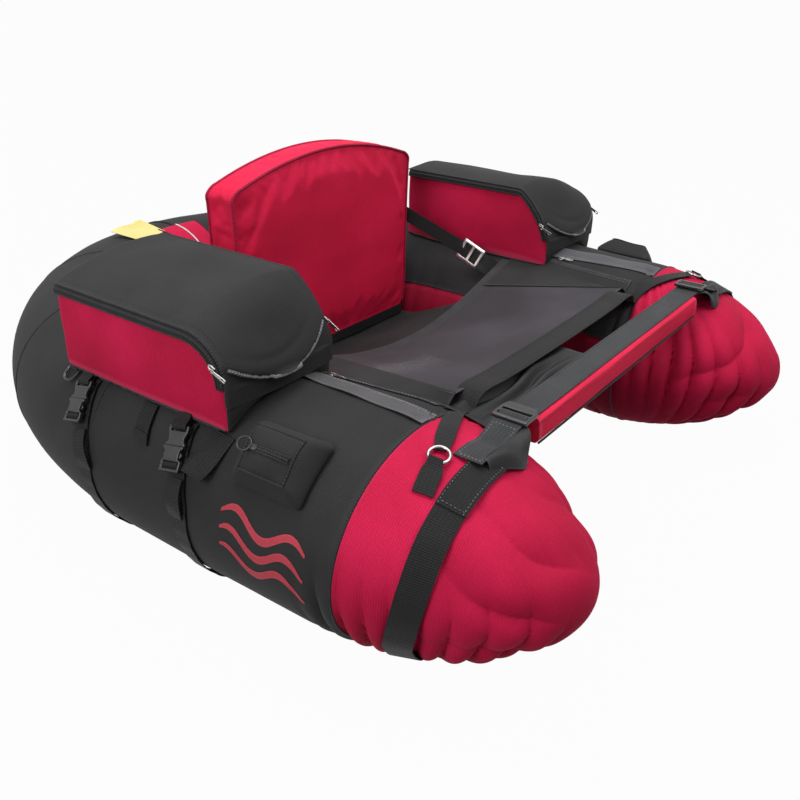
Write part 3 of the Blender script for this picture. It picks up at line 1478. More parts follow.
def rim_line(side, x, out, low):
    """The line of a bag's zip: along the side panel's upper edge and round its front corner."""
    spots = []
    for k in range(81):
        if k / 80 < STRAIGHT_SHARE:
            y = mix(BAG_REAR - 0.004, BAG_FALL_Y, k / 80 / STRAIGHT_SHARE)
            spots.append((x + out, y, lid_height(x) - low))
        else:
            turn = math.sin(math.pi / 2 * (k / 80 - STRAIGHT_SHARE) / (1 - STRAIGHT_SHARE))
            y = BAG_FALL_Y - (BAG_ROUND - low * 1.1) * turn - low * 0.1
            spots.append((x + out, y, mix(BAG_MOUTH_Z, lid_height(x) - low, front_profile(x, turn))))
    return [sided(side, p) for p in spots]


def bag_cord(name, line, radius, body="tube", paint=PIPING):
    cord_line(name, line, radius, paint, body)


for side, word in SIDES.items():
    for edge, x, out in (("outer", BAG_OUT, 1), ("inner", BAG_IN, -1)):
        upper = rim_line(side, x, out * 0.0012, 0.0)
        lower = rim_line(side, x, out * 0.0040, ZIP_TAPE)
        facing = Vector((side * out, 0, 0))

        def zip_point(u, v):
            k = round(v * 80)
            return upper[k].lerp(lower[k], u) + facing * 0.0012 * math.sin(u * math.pi)

        name = f"bag_zip_tape_{edge}_{word}"
        band = grid_sheet(name, 6, 80, (ZIP_TAPE, 0.34), zip_point, lambda _: facing, 0.0008, 1.0)
        finish_piece(band, BLACK_WEBBING, "tube")
        teeth = [p + facing * 0.0024 - Vector((0, 0, 0.0030)) for p in upper[:-2]]
        bag_cord(f"bag_zip_teeth_{edge}_{word}", teeth, 0.0013)
        bag_cord(f"bag_panel_piping_{edge}_{word}", [p + facing * 0.0006 for p in lower], 0.0013)
    line = []
    for k in range(41):
        y = mix(BAG_REAR - 0.002, BAG_FRONT + 0.004, k / 40)
        line.append(sided(side, (BAG_OUT - 0.0004, y, bag_floor(BAG_OUT - 0.001, y) + 0.0005)))
    bag_cord(f"bag_foot_piping_{word}", line, 0.0014)


# %% Lids
LID_SPARE = 0.0010
LID_DROP = 0.024
TOP_SHARE = 0.60
FALL_SHARE = 0.26
DROP_SHARE = 0.14


def lip_height(x):
    """The height of the piped lip, which hangs in a bow between the two sliders."""
    return 0.3225 + 0.030 * ((x - 0.410) / 0.088) ** 2


def lid_point(side, u, v):
    """u runs from the inner to the outer side, and v from the sewn rear edge to the lip."""
    x = mix(BAG_IN - 0.0008, BAG_OUT + 0.0008, u)
    across = u * 2 - 1
    inside = 1 - across**2
    top = lid_height(x) + LID_SPARE
    soft = 0.0035 * noise.noise(Vector((x * 10, v * 3.0, side * 2.0)) * 1.3) * inside
    if v < TOP_SHARE:
        y = mix(BAG_REAR, BAG_FALL_Y, v / TOP_SHARE)
        dent = 0.003 * inside * bell(v - 0.42, 0.10) * math.exp(-((across - 0.1) ** 2) / 0.3)
        return Vector((x, y, top + soft - dent + 0.003 * inside * ease(0, 0.2, v)))
    if v < TOP_SHARE + FALL_SHARE:
        fallen = (v - TOP_SHARE) / FALL_SHARE
        turn = math.sin(math.pi / 2 * fallen)
        y = BAG_FALL_Y - (BAG_ROUND + LID_SPARE) * turn
        fold = 0.0015 * inside * math.sin(fallen * 7.0 + across * 1.1)
        z = mix(BAG_MOUTH_Z, top, front_profile(x, turn)) + (soft + 0.003 * inside) * (1 - turn) + fold
    else:
        y = BAG_FRONT - LID_SPARE - inside * 0.0068
        z = BAG_MOUTH_Z - LID_DROP * (v - TOP_SHARE - FALL_SHARE) / DROP_SHARE
        fold, turn = 0.0, 1.0
    over = z - lip_height(x)
    puff = 0.0125 * inside**0.6 * ease(-0.004, 0.0025, over) * (1 - 0.75 * ease(0.0, 0.055, over))
    groove = 0.0022 * inside * bell(over - 0.016 - 0.06 * (BAG_OUT - x), 0.0035)
    return Vector((x, y - (puff - groove) * turn - fold, z))


for side, word in SIDES.items():

    def point(u, v):
        return sided(side, lid_point(side, u, v))

    def outside(middle):
        return middle - Vector((middle.x, BAG_REAR, BAG_MOUTH_Z))

    body = f"bag_lid_{word}"
    lid = grid_sheet(body + "_cloth", 44, 110, (0.192, 0.42), point, outside, BAG_WALL, 1.0)
    finish_piece(lid, BLACK_POLYESTER, body, body, smooth=60.0)
    lip = []
    for k in range(2, 50):
        rows = [point(k / 51, mix(0.66, 0.95, j / 120)) for j in range(121)]
        spot = min(rows, key=lambda p: abs(p.z - lip_height(abs(p.x)) - 0.0008))
        lip.append(spot + Vector((0, -0.0012, -0.0012)))
    bag_cord(f"bag_lip_piping_{word}", smooth_line(lip, 90), 0.0023, body, LIP_PIPING)
    for edge, u in (("outer", 0.997), ("inner", 0.003)):
        line = [point(u, k / 90) + Vector((0, 0, 0.0010)) for k in range(1, 90)]
        bag_cord(f"bag_lid_piping_{edge}_{word}", line, 0.0017, body)
    rows = [[point(mix(0.03, 0.97, k / 50), 0.985) + Vector((0, -0.0019, 0)) for k in range(51)]]
    for u in (0.045, 0.955):
        rows.append([point(u, mix(0.02, 0.84, k / 60)) + Vector((0, -0.0006, 0.0017)) for k in range(61)])
    stitches(f"bag_lid_stitches_{word}", rows, lambda p: Vector((0, -0.4, 1)), THREAD, body)
print("bags done")


# %% [markdown]
# One zip slider serves the bags and the cover. Its body is a block with a tapered nose and a bridge over
# it. A pull with a hole hangs from the bridge on a small link. It is modelled once at the origin, along X,
# and copied.

# %% Zip sliders
def join(things, name):
    """Joins several pieces into one object with that name."""
    select_nothing()
    for thing in things:
        thing.select_set(True)
    bpy.context.view_layer.objects.active = things[0]
    bpy.ops.object.join()
    made = bpy.context.object
    made.name = name
    select_nothing()
    return made


def wire_ring(radius, wire, x, z, around, sides):
    """A ring of wire that lies flat at (x, 0, z)."""
    select_nothing()
    bpy.ops.mesh.primitive_torus_add(
        major_radius=radius, minor_radius=wire, major_segments=around, minor_segments=sides,
        location=(x, 0, z),
    )
    bpy.ops.object.transform_apply(location=True, rotation=True, scale=True)
    return bpy.context.object


def slider_model():
    base = block("slider_base", (0.011, 0.008, 0.0022), (-0.002, 0.002))
    for vert in base.data.vertices:
        if abs(vert.co.x) > 0.004:
            vert.co.y *= 0.62 if vert.co.x > 0 else 0.86
    soften(base, 0.0005, 3)
    bridge = block("slider_bridge", (0.0085, 0.0026, 0.0009), (-0.0028, -0.0014, 0.0, 0.0014, 0.0028))
    for vert in bridge.data.vertices:
        share = clamp(vert.co.x / 0.0085 + 0.5)
        vert.co.z += 0.0010 + 0.0022 * math.sin(share * math.pi)
    soften(bridge, 0.0003, 2)
    pull = block(
        "slider_pull", (0.022, 0.0052, 0.0011), (-0.009, -0.0065, -0.0045, 0.007, 0.0095), (-0.0013, 0.0013)
    )
    open_slots(pull, [(-0.009, -0.0045, -0.0013, 0.0013), (0.007, 0.0095, -0.0013, 0.0013)])
    for vert in pull.data.vertices:
        if vert.co.x > -0.006:
            vert.co.y *= 0.75 + 0.25 * ease(0.011, -0.006, vert.co.x)
        vert.co.x -= 0.0145
        vert.co.z += 0.0028 - 0.0016 * ease(-0.004, -0.025, vert.co.x)
    soften(pull, 0.0003, 2)
    link = wire_ring(0.0022, 0.0005, -0.0046, 0.0030, 24, 8)
    made = join([base, bridge, pull, link], "slider_model")
    box_uv(made)
    return made


SLIDER = slider_model()
SLIDER_OFF = 0.00545
COVER_SLIDER_Y = -0.232


def place_slider(node, place, forward, out):
    made = copy_of(SLIDER, f"{node}_metal")
    settle(made, place, axes(out, forward))
    finish_piece(made, NICKEL, node, node)


for side, word in SIDES.items():
    for edge, x, out in (("outer", BAG_OUT + SLIDER_OFF, side), ("inner", BAG_IN - SLIDER_OFF, -side)):
        place = Vector((side * x, -0.198, 0.352))
        place_slider(f"bag_slider_{edge}_{word}", place, Vector((0, 0.066, 0.032)), Vector((out, 0, 0)))
    y = COVER_SLIDER_Y
    x = (flap_middle(y) - FLAP_WIDTH / 2 + bare(y - NOSE_Y, SEWN_ANGLE).x) / 2
    normal = sided(side, normal_at(y - NOSE_Y, top_place(x, y)))
    place_slider(f"cover_slider_{word}", on_top(side, x, y, 0.0026), Vector((0, 1, 0)), normal)


# %% [markdown]
# A zipped pouch sits on each arm's outer shoulder. It is a soft box that narrows outwards, with its zip
# along the outer face, piped edges and a slider of its own with a ring to pull.

# %% Pouches
POUCH_YS = (-0.354, -0.241)
POUCH_ANGLES = (30.0, 62.5)
POUCH_MIDDLE = 46.25
POUCH_HALF = Vector((0.0565, 0.045, 0.017))
POUCH_ZIP_EDGES = (0.44, 0.56)
PULL_X = -0.0095


def pouch_spot(a, b, c):
    """A point of the pouch, from shares of its length, of its height and of its depth."""
    angle = mix(mix(*POUCH_ANGLES, b), POUCH_MIDDLE, c * 0.47)
    along = mix(mix(*POUCH_YS, a), sum(POUCH_YS) / 2, c * 0.40) - NOSE_Y
    return bare(along, angle) + normal_at(along, angle) * (0.0004 + mix(0.0265, 0.0335, b) * c)


def pouch_place(place, side):
    spot = rounded(place * 2 * POUCH_HALF, POUCH_HALF, 0.0085)
    a, b, c = (clamp(s / h / 2 + 0.5) for s, h in zip(spot, POUCH_HALF))
    made = pouch_spot(a, b, c)
    normal = normal_at(made.y - NOSE_Y, POUCH_MIDDLE)
    belly = math.sin(math.pi * a) * math.sin(math.pi * b)
    dent = bell(b - 0.50 - 0.05 * math.sin(a * 5), 0.10) * math.sin(math.pi * a)
    unevenness = noise.noise(Vector((made.x * 24, made.y * 24, made.z * 24 - 3)))
    made += normal * (0.0035 * belly + 0.0040 * unevenness - 0.0016 * dent) * c
    if c < 0.9:
        swell = math.sin(math.pi * clamp(c)) * 0.0035
        made.y += math.copysign(swell * abs(a * 2 - 1) ** 6, a - 0.5)
    return sided(side, made)


for side, word in SIDES.items():
    pouch = cut_box(f"pouch_{word}_cloth", (34, 26, 10))
    for vert in pouch.data.vertices:
        vert.co = pouch_place(vert.co, side)
    face_outwards(pouch)
    box_uv(pouch)
    finish_piece(pouch, BLACK_POLYESTER, "tube", f"pouch_{word}", smooth=55.0)

    def face_line(b, low, count, lift):
        """A line along the pouch's outer face, equally short of both its ends."""
        shares = [mix(low, 1 - low, k / count) for k in range(count + 1)]
        spots = [pouch_place(Vector((share - 0.5, b - 0.5, 0.5)), side) for share in shares]
        return [spot + sided(side, normal_at(spot.y - NOSE_Y, POUCH_MIDDLE)) * lift for spot in spots]

    lines = [face_line(b, 0.06, 30, 0.0009) for b in POUCH_ZIP_EDGES]

    def zip_point(u, v):
        k = round(v * 30)
        return lines[0][k].lerp(lines[1][k], u)

    tape_normal = sided(side, normal_at(-0.30 - NOSE_Y, POUCH_MIDDLE))
    name = f"pouch_zip_tape_{word}"
    band = grid_sheet(name, 4, 30, (0.008, 0.09), zip_point, lambda _: tape_normal, 0.0007, 1.0)
    finish_piece(band, BLACK_WEBBING, "tube")
    bag_cord(f"pouch_zip_teeth_{word}", face_line(0.50, 0.06, 40, 0.0017), 0.0012)
    for k, b in enumerate(POUCH_ZIP_EDGES):
        bag_cord(f"pouch_zip_edge_{k}_{word}", face_line(b, 0.05, 40, 0.0012), 0.0008)
    corners = [Vector((x * 0.485, y * 0.485, 0.46)) for x, y in ((-1, -1), (1, -1), (1, 1), (-1, 1))]
    outline = []
    for corner, following in zip(corners, corners[1:] + corners[:1]):
        spots = [corner.lerp(following, k / 24) for k in range(24)]
        outline += [pouch_place(spot, side) + tape_normal * 0.0006 for spot in spots]
    cover_piping(f"pouch_piping_{word}", outline, 0.0012, True)
    start = pouch_spot(0.86, 0.5, 1)
    forward = pouch_spot(0, 0.5, 1) - pouch_spot(1, 0.5, 1)
    node = f"pouch_slider_{word}"
    base = block("pouch_slider_base", (0.010, 0.007, 0.0022), (-0.002, 0.002))
    for vert in base.data.vertices:
        vert.co.y *= 0.7 if vert.co.x > 0.004 else 1.0
    soften(base, 0.0005, 3)
    base.data.transform(Matrix.Translation((0.003, 0, 0)))
    loop = wire_ring(0.0085, 0.0010, PULL_X, 0.0016, 40, 10)
    for vert in loop.data.vertices:
        vert.co.x = PULL_X + (vert.co.x - PULL_X) * 1.15
    puller = join([base, loop], f"{node}_loop")
    box_uv(puller)
    settle(puller, sided(side, start) + tape_normal * 0.0042, axes(tape_normal, sided(side, forward)))
    finish_piece(puller, BLACK_ACETAL, node, node)
discard(SLIDER)
print("pouches done")


# %% [markdown]
# Two straps hold each bag down. A short loop hangs from the bag's foot and holds the plug of a side-release
# buckle. The socket sits on a strap that is sewn into the lower seam, goes up through the ladder at the
# socket's lower end and comes back as a loose tail. The buckle is modelled flat at the origin: Y points
# down the strap.

# %% Side-release buckles
BUCKLE_WIDE = 0.032
BUCKLE_SLOT = (-0.0125, 0.0125)
BUCKLE_LONG = 0.032
PLUG_LONG = 0.026
BUCKLE_THICK = 0.009
BUCKLE_YS = {"front": -0.146, "rear": 0.034}
BUCKLE_ANGLE = 35.0
BUCKLE_LEAN = math.radians(11.5)
BUCKLE_LIFT = 0.0078


def narrow(thing, width_at):
    """Moves the outline: points at the full half width go to width_at(y), and inner ones follow."""
    for vert in thing.data.vertices:
        vert.co.x *= width_at(vert.co.y) / (BUCKLE_WIDE / 2)


def cut_with(thing, size, place):
    """Cuts a block-shaped hole into a piece."""
    select_nothing()
    bpy.ops.mesh.primitive_cube_add(size=1.0, location=place, scale=size)
    cutter = bpy.context.object
    take(cutter)
    bpy.ops.object.transform_apply(location=True, rotation=False, scale=True)
    modify(thing, "BOOLEAN", operation="DIFFERENCE", object=cutter, solver="EXACT")
    discard(cutter)


def socket_model():
    ys = (-0.0130, -0.0112, -0.0085, -0.0045, -0.0010, 0.0006, 0.0032, 0.0066, 0.0092, 0.0128)
    made = block("socket", (BUCKLE_WIDE, BUCKLE_LONG, BUCKLE_THICK), BUCKLE_SLOT, ys)
    open_slots(made, [(*BUCKLE_SLOT, 0.0032, 0.0066), (*BUCKLE_SLOT, 0.0092, 0.0128)])
    half = BUCKLE_WIDE / 2
    for vert in made.data.vertices:
        vert.co.z *= mix(1.0, 0.66, ease(0.000, 0.004, vert.co.y))
        if vert.co.y > 0.013 and vert.co.z > 0:
            vert.co.z += 0.0012
    narrow(made, lambda y: half if y < -0.0129 or y > 0.003 else mix(half, 0.0118, ease(-0.0130, -0.0100, y)))
    soften(made, 0.0009, 3)
    cut_with(made, (0.0216, 0.0172, 0.0046), (0, -0.0086, 0))
    cut_with(made, (0.0400, 0.0090, 0.0052), (0, -0.0045, 0))
    return made


def plug_model():
    ys = (-0.0245, -0.0185, -0.0150, -0.0095, -0.0055, -0.0025)
    made = block("plug", (BUCKLE_WIDE, PLUG_LONG, 0.0050), BUCKLE_SLOT, [y + PLUG_LONG / 2 for y in ys])
    made.data.transform(Matrix.Translation((0, -PLUG_LONG / 2, 0)))
    open_slots(made, [(*BUCKLE_SLOT, -0.0245, -0.0185)])

    def waist(y):
        return ease(-0.0185, -0.0110, y) * (1 - ease(-0.0060, -0.0020, y))

    narrow(made, lambda y: mix(BUCKLE_WIDE / 2, 0.0126, waist(y)))
    pieces = [soften(made, 0.0008, 3)]
    for x, wide, long in ((-0.0085, 0.0036, 0.018), (0.0085, 0.0036, 0.018), (0.0, 0.0030, 0.013)):
        arm = block("arm", (wide, long, 0.0032))
        arm.data.transform(Matrix.Translation((x, long / 2 - 0.001, 0)))
        pieces.append(soften(arm, 0.0005))
    for side in (-1, 1):
        button = block("button", (0.0062, 0.0084, 0.0044), (), (-0.0030, 0.0, 0.0030))
        for vert in button.data.vertices:
            if vert.co.x * side > 0:
                vert.co.x -= side * 0.0034 * (vert.co.y / 0.0042) ** 2
        button.data.transform(Matrix.Translation((side * 0.0122, 0.0116, 0)))
        pieces.append(soften(button, 0.0007, 3))
    return join(pieces, "plug_model")


def off_cover(side, y, angle, lift):
    """A place a little off the bare arm."""
    return sided(side, bare(y - NOSE_Y, angle) + normal_at(y - NOSE_Y, angle) * lift)


def strap_frame(side, y, angle, lift, lean=0.0):
    """A place on the arm's outer side, its directions down the strap, across it and outwards."""
    along = y - NOSE_Y
    out = normal_at(along, angle)
    down = (bare(along, angle - 1.5) - bare(along, angle + 1.5)).normalized()
    run = Vector((0, 1, 0))
    run = (run - out * run.dot(out)).normalized()
    way = down * math.cos(lean) - run * math.sin(lean)
    over = run * math.cos(lean) + down * math.sin(lean)
    return off_cover(side, y, angle, lift), *(sided(side, v) for v in (way, over, out))


def strap_loop(name, line, over, width, body="tube"):
    tape(name, line, lambda k: over, width, 0.0012, BLACK_WEBBING, body, offset=0.0)


UPPER_LOOP = (
    (-0.044, 0.0060), (-0.036, 0.0072), (-0.030, 0.0100), (-0.0260, 0.0116), (-0.0222, 0.0100),
    (-0.0216, 0.0070), (-0.0240, 0.0046), (-0.030, 0.0040), (-0.038, 0.0042),
)
LOWER_LOOP = (
    (0.0330, 0.0046), (0.0300, 0.0062), (0.0268, 0.0092), (0.0238, 0.0112), (0.0212, 0.0096),
    (0.0196, 0.0066), (0.0210, 0.0040), (0.0260, 0.0030),
)
SOCKET, PLUG = socket_model(), plug_model()
for model in (SOCKET, PLUG):
    box_uv(model)

for side, word in SIDES.items():
    for end, y in BUCKLE_YS.items():
        label = f"{end}_{word}"
        origin, way, over, out = strap_frame(side, y, BUCKLE_ANGLE, BUCKLE_LIFT, BUCKLE_LEAN)
        turn = Matrix((over, way, out)).transposed().to_4x4()
        socket = settle(copy_of(SOCKET, f"buckle_socket_{label}_shell"), origin + way * 0.01615, turn)
        plug = settle(copy_of(PLUG, f"buckle_plug_{label}_prongs"), origin - way * 0.00015, turn)
        for made in (socket, plug):
            if turn.to_3x3().determinant() < 0:
                made.data.flip_normals()
        finish_piece(socket, BLACK_ACETAL, f"buckle_socket_{label}", f"buckle_socket_{label}")
        finish_piece(plug, BLACK_ACETAL, "tube", f"buckle_plug_{label}")

        def strap_spot(angle, lift):
            return off_cover(side, y - 0.022 * clamp((43 - angle) / 35), angle, lift)

        def strap_over(line):
            def across(k):
                run = line[min(k + 1, len(line) - 1)] - line[max(k - 1, 0)]
                middle = sided(side, section_at(line[k].y - NOSE_Y)[0])
                away = (line[k] - Vector((middle.x, line[k].y, middle.z))).normalized()
                return away.cross(run).normalized() * side

            return across

        angles = [48 - 100 * k / 70 for k in range(71)]
        line = [strap_spot(a, 0.0011 + 0.0006 * math.sin(a * 0.31) ** 2) for a in angles]
        tape(
            f"bag_strap_{label}_webbing", line, strap_over(line), NARROW_WEB, WEB_WALL, BLACK_WEBBING, "tube",
            f"bag_strap_{label}",
        )

        def beside(spots, count):
            line = [origin + way * reach + out * (height - BUCKLE_LIFT) for reach, height in spots]
            return smooth_line(line, count)

        strap_loop(f"buckle_loop_{label}", beside(UPPER_LOOP, 40), over, 0.0235)
        body = f"buckle_socket_{label}"
        strap_loop(f"buckle_ladder_loop_{label}", beside(LOWER_LOOP, 36), over, 0.0235, body)
        tail = []
        for share in (k / 8 for k in range(9)):
            spot = strap_spot(BUCKLE_ANGLE - 13.5 - 19 * share, 0.0046 + 0.0045 * math.sin(share * 3.4))
            tail.append(spot + Vector((0, (0.004 if end == "front" else -0.005) * share, 0)))
        line = smooth_line(tail, 30)
        tape(f"bag_strap_tail_{label}", line, strap_over(line), 0.0245, 0.0014, BLACK_WEBBING, "tube")
discard(SOCKET, PLUG)
print("buckles done")


# %% [markdown]
# Between and beside the buckles two more webbing tabs are sewn under the bag's foot: a plain one with a
# hemmed end, and a folded one that stands off as an open loop. A plastic D-ring hangs from a tab at the
# bag's rear corner.

# %% Webbing tabs and D-rings
# Each tab is a list of (y, angle round the arm, height over the cover).
PLAIN_TAB = ((-0.0690, 48.5, 0.0016), (-0.0720, 43, 0.0024), (-0.0760, 36, 0.0030), (-0.0820, 29.5, 0.0022))
FOLDED_TAB = (
    (-0.203, 49.0, 0.0016), (-0.201, 42.0, 0.0030), (-0.198, 35.0, 0.0055), (-0.194, 29.5, 0.0100),
    (-0.190, 27.0, 0.0125), (-0.186, 26.5, 0.0085), (-0.184, 29.5, 0.0035), (-0.188, 35.0, 0.0018),
)
RING_HALF = 0.0135
RING_STRAIGHT = 0.0075
RING_CORNER = 0.0014
RING_TAB = (
    (-0.016, 0.0012), (-0.008, 0.0032), (-0.002, 0.0058),
    (0.0024, 0.0052), (0.0030, 0.0022), (-0.002, 0.0004),
)

for side, word in SIDES.items():
    line = smooth_line([off_cover(side, *spot) for spot in PLAIN_TAB], 30)
    wide = [Vector((0, 0.98, 0.12 * k / 30)) for k in range(31)]
    tape(f"bag_plain_tab_{word}", line, lambda k: wide[k], 0.025, 0.0016, BLACK_WEBBING, "tube")
    hem = [p + sided(side, normal_at(-0.08 - NOSE_Y, 31)) * 0.0016 for p in line[22:]]
    wide = Vector((0, 1, 0.1))
    tape(f"bag_plain_tab_hem_{word}", hem, lambda k: wide, 0.0252, 0.0014, BLACK_WEBBING, "tube")

    line = smooth_line([off_cover(side, *spot) for spot in FOLDED_TAB], 44)
    lean = Vector((0, 1, 0.10)).normalized()
    tape(f"bag_folded_tab_{word}", line, lambda k: lean, 0.034, 0.0014, BLACK_WEBBING, "tube", offset=0.0)

    origin, way, over, out = strap_frame(side, 0.075, 47.0, 0.0028)
    turns = [math.pi * k / 32 for k in range(33)]
    spots = [(RING_HALF * math.cos(a), RING_STRAIGHT + RING_HALF * math.sin(a)) for a in turns]
    spots += [(-RING_HALF, RING_CORNER), (-RING_HALF + RING_CORNER, 0.0)]
    spots += [(mix(-RING_HALF + 0.003, RING_HALF - 0.003, k / 6), 0.0) for k in range(7)]
    spots += [(RING_HALF - RING_CORNER, 0.0), (RING_HALF, RING_CORNER)]
    line = [origin + over * x + way * y for x, y in spots]
    body = f"d_ring_{word}"
    cord_line(f"{body}_wire", line, 0.0019, BLACK_ACETAL, body, closed=True, node=body)
    line = smooth_line([origin + way * a + out * (b - 0.0028) for a, b in RING_TAB], 30)
    strap_loop(f"d_ring_tab_{word}", line, over, 0.020)
print("tabs done")


# %% [markdown]
# The front bar keeps the tips apart. It is a foam strip in a red sleeve, with wide webbing sewn along its
# top. Each end is held by a ladder lock, and the webbing runs on over the right tip, onto that tip's own
# strap. The sleeve is soft, so its faces crown a little and it wrinkles near its ends.

# %% Front bar sleeve and webbing
BAR_HALF = 0.276
BAR_Y = -0.4895
BAR_MIDDLE_Z = 0.277
BAR_TOP = 0.294
BAR_WEB_Y = -0.486
BAR_WEB_Z = BAR_TOP + 0.0006

sleeve = cut_box("bar_sleeve_cloth", (110, 8, 8))
for vert in sleeve.data.vertices:
    x, b, c = vert.co.x * 2 * BAR_HALF, vert.co.y * 2, vert.co.z * 2
    spot = rounded(Vector((0, b * 0.0225, c * 0.0170)), (0.0225, 0.0225, 0.0170), 0.0062)
    seed = Vector((x * 13, spot.y * 34, spot.z * 34))
    if abs(b) > 0.5:
        unevenness = (0.0009 + 0.0012 * bell(BAR_HALF - abs(x), 0.06)) * noise.noise(seed)
        spot.y += math.copysign(0.0010 * (1 - c * c) + unevenness, b)
    spot.z += 0.0006 * noise.noise(seed * 0.7 + Vector((3, 0, 0)))
    if c > 0.9:
        spot.z += 0.0006 * math.sin(x / 0.0085 * math.pi) * (1 - abs(b)) * c
    vert.co = Vector((x, BAR_Y + spot.y, BAR_MIDDLE_Z + spot.z))
box_uv(sleeve)
finish_piece(sleeve, SOFT_RED, "front_bar", "bar_sleeve", smooth=50.0)



def bar_face_line(z):
    return [Vector((mix(-0.274, 0.274, k / 90), BAR_Y - 0.0226, z)) for k in range(91)]


cord_line("bar_lower_piping", bar_face_line(0.2612), 0.0016, PIPING, "front_bar")
rows = [bar_face_line(0.2905), bar_face_line(0.2875)]
stitches("bar_front_stitches", rows, lambda p: Vector((0, -1, 0)), THREAD, "front_bar")


def smooth_top(x, y, lift):
    """The height of the right tip's smooth top, or of the left one's mirrored."""
    return hull(1, y - NOSE_Y, top_place(x, y), lift, False).z


def bar_line():
    xs = (0.340, 0.314, 0.25, 0.15, 0.05, -0.05, -0.15, -0.25, -0.290)
    spots = [(x, BAR_WEB_Z) for x in xs] + [(-0.312, BAR_TOP + 0.0004)]
    spots += [(-x, smooth_top(x, BAR_WEB_Y, 0.0048)) for x in (0.345, 0.362, 0.380, 0.397)]
    return smooth_line([Vector((x, BAR_WEB_Y, z)) for x, z in spots], 170)


BAR_LINE = bar_line()
tape(
    "bar_webbing_top", BAR_LINE, lambda k: Vector((0, 1, 0)), WIDE_WEB, WEB_WALL, GREY_WEBBING, "front_bar",
    "bar_webbing",
)
rows = [[p + Vector((0, offset, WEB_WALL)) for p in BAR_LINE[26:118]] for offset in (-0.0165, 0.0165)]
stitches("bar_webbing_stitches", rows, upward, THREAD, "front_bar")
box = [p + Vector((0, 0, WEB_WALL)) for p in BAR_LINE[-20:-1]]
rows = [[p + Vector((0, offset, 0.0)) for p in box] for offset in (-0.015, 0.015)]
for index in (0, -1):
    rows.append([box[index] + Vector((0, mix(-0.015, 0.015, k / 8), 0)) for k in range(9)])
stitches("bar_webbing_end_stitches", rows, upward, PALE_THREAD, "front_bar")
print("front bar done")


# %% [markdown]
# A ladder lock is a moulded frame with three bars. The webbing goes up behind the middle bar and down
# again, so that a pull locks it. One end of the frame turns up as a thumb tab that lets the webbing slip.

# %% Ladder locks
LOCK_SLOT = (-0.0198, 0.0198)


def lock_model():
    xs = (-0.0125, -0.0050, -0.0010, 0.0060, 0.0115)
    made = block("ladder_lock", (0.036, 0.048, 0.0050), xs, LOCK_SLOT)
    open_slots(made, [(*xs[:2], *LOCK_SLOT), (*xs[2:4], *LOCK_SLOT)])
    for vert in made.data.vertices:
        x = vert.co.x
        tab = ease(0.0110, 0.018, x)
        vert.co.z += 0.0030 * tab
        vert.co.y *= mix(1.0, 0.80, tab)
        if abs(vert.co.y) > 0.0197:
            vert.co.z += 0.0008 * (1 - (x / 0.018) ** 2)
        if x < -0.0170:
            vert.co.z -= 0.0004
    return soften(made, 0.0011, 3)


LOCK = lock_model()
LOCK_XS = {-1: -0.290, 1: 0.314}
WEB_HUMP = (
    (-0.0105, 0.0006), (-0.0085, 0.0032), (-0.0050, 0.0052),
    (-0.0025, 0.0053), (0.0005, 0.0040), (0.0040, 0.0006),
)
box_uv(LOCK)
for side, word in SIDES.items():
    x = LOCK_XS[side]
    body = f"bar_buckle_{word}"
    lock = copy_of(LOCK, f"bar_lock_{word}")
    turn = Matrix.Identity(4) if side < 0 else Matrix.Rotation(math.pi, 4, "Z")
    settle(lock, Vector((x, BAR_WEB_Y, 0.2988)), turn)
    finish_piece(lock, BLACK_ACETAL, body, body)
    line = smooth_line([Vector((x - side * a, BAR_WEB_Y, 0.2962 + b)) for a, b in WEB_HUMP], 24)
    wide = Vector((0, 1, 0))
    tape(f"bar_lock_webbing_{word}", line, lambda k: wide, 0.0375, 0.0013, GREY_WEBBING, body, offset=0.0)
discard(LOCK)


# %% [markdown]
# A wide ribbed strap goes round each tip from the lower seam to the bar's webbing. Its width follows the
# tip's own slope. A double layer is sewn on where it meets the bar.

# %% Tip straps
TIP_STRAP_Y = -0.504
PATCH_RUN = slice(78, 104)


def tip_strap_places(side):
    places = []
    for k in range(111):
        angle = mix(-51.0, 102.0, k / 110)
        along = TIP_STRAP_Y + 0.019 * clamp((30 - angle) / 52) ** 2 - NOSE_Y
        ripple = 0.0007 * math.sin(angle * 0.22 + side)
        places.append((along, angle, 0.0016 + max(ripple, 0.0)))
    return places


def strap_rest(side, along, angle, lift):
    """A place on the cover's crests. Near the lower seam the strap is sewn down into the creases."""
    sunk = crease(side, along, angle) * ease(-22.0, -48.0, angle) + 0.004 * ease(-42.0, -50.0, angle)
    return sided(side, bare(along, angle) + normal_at(along, angle) * (lift - sunk))


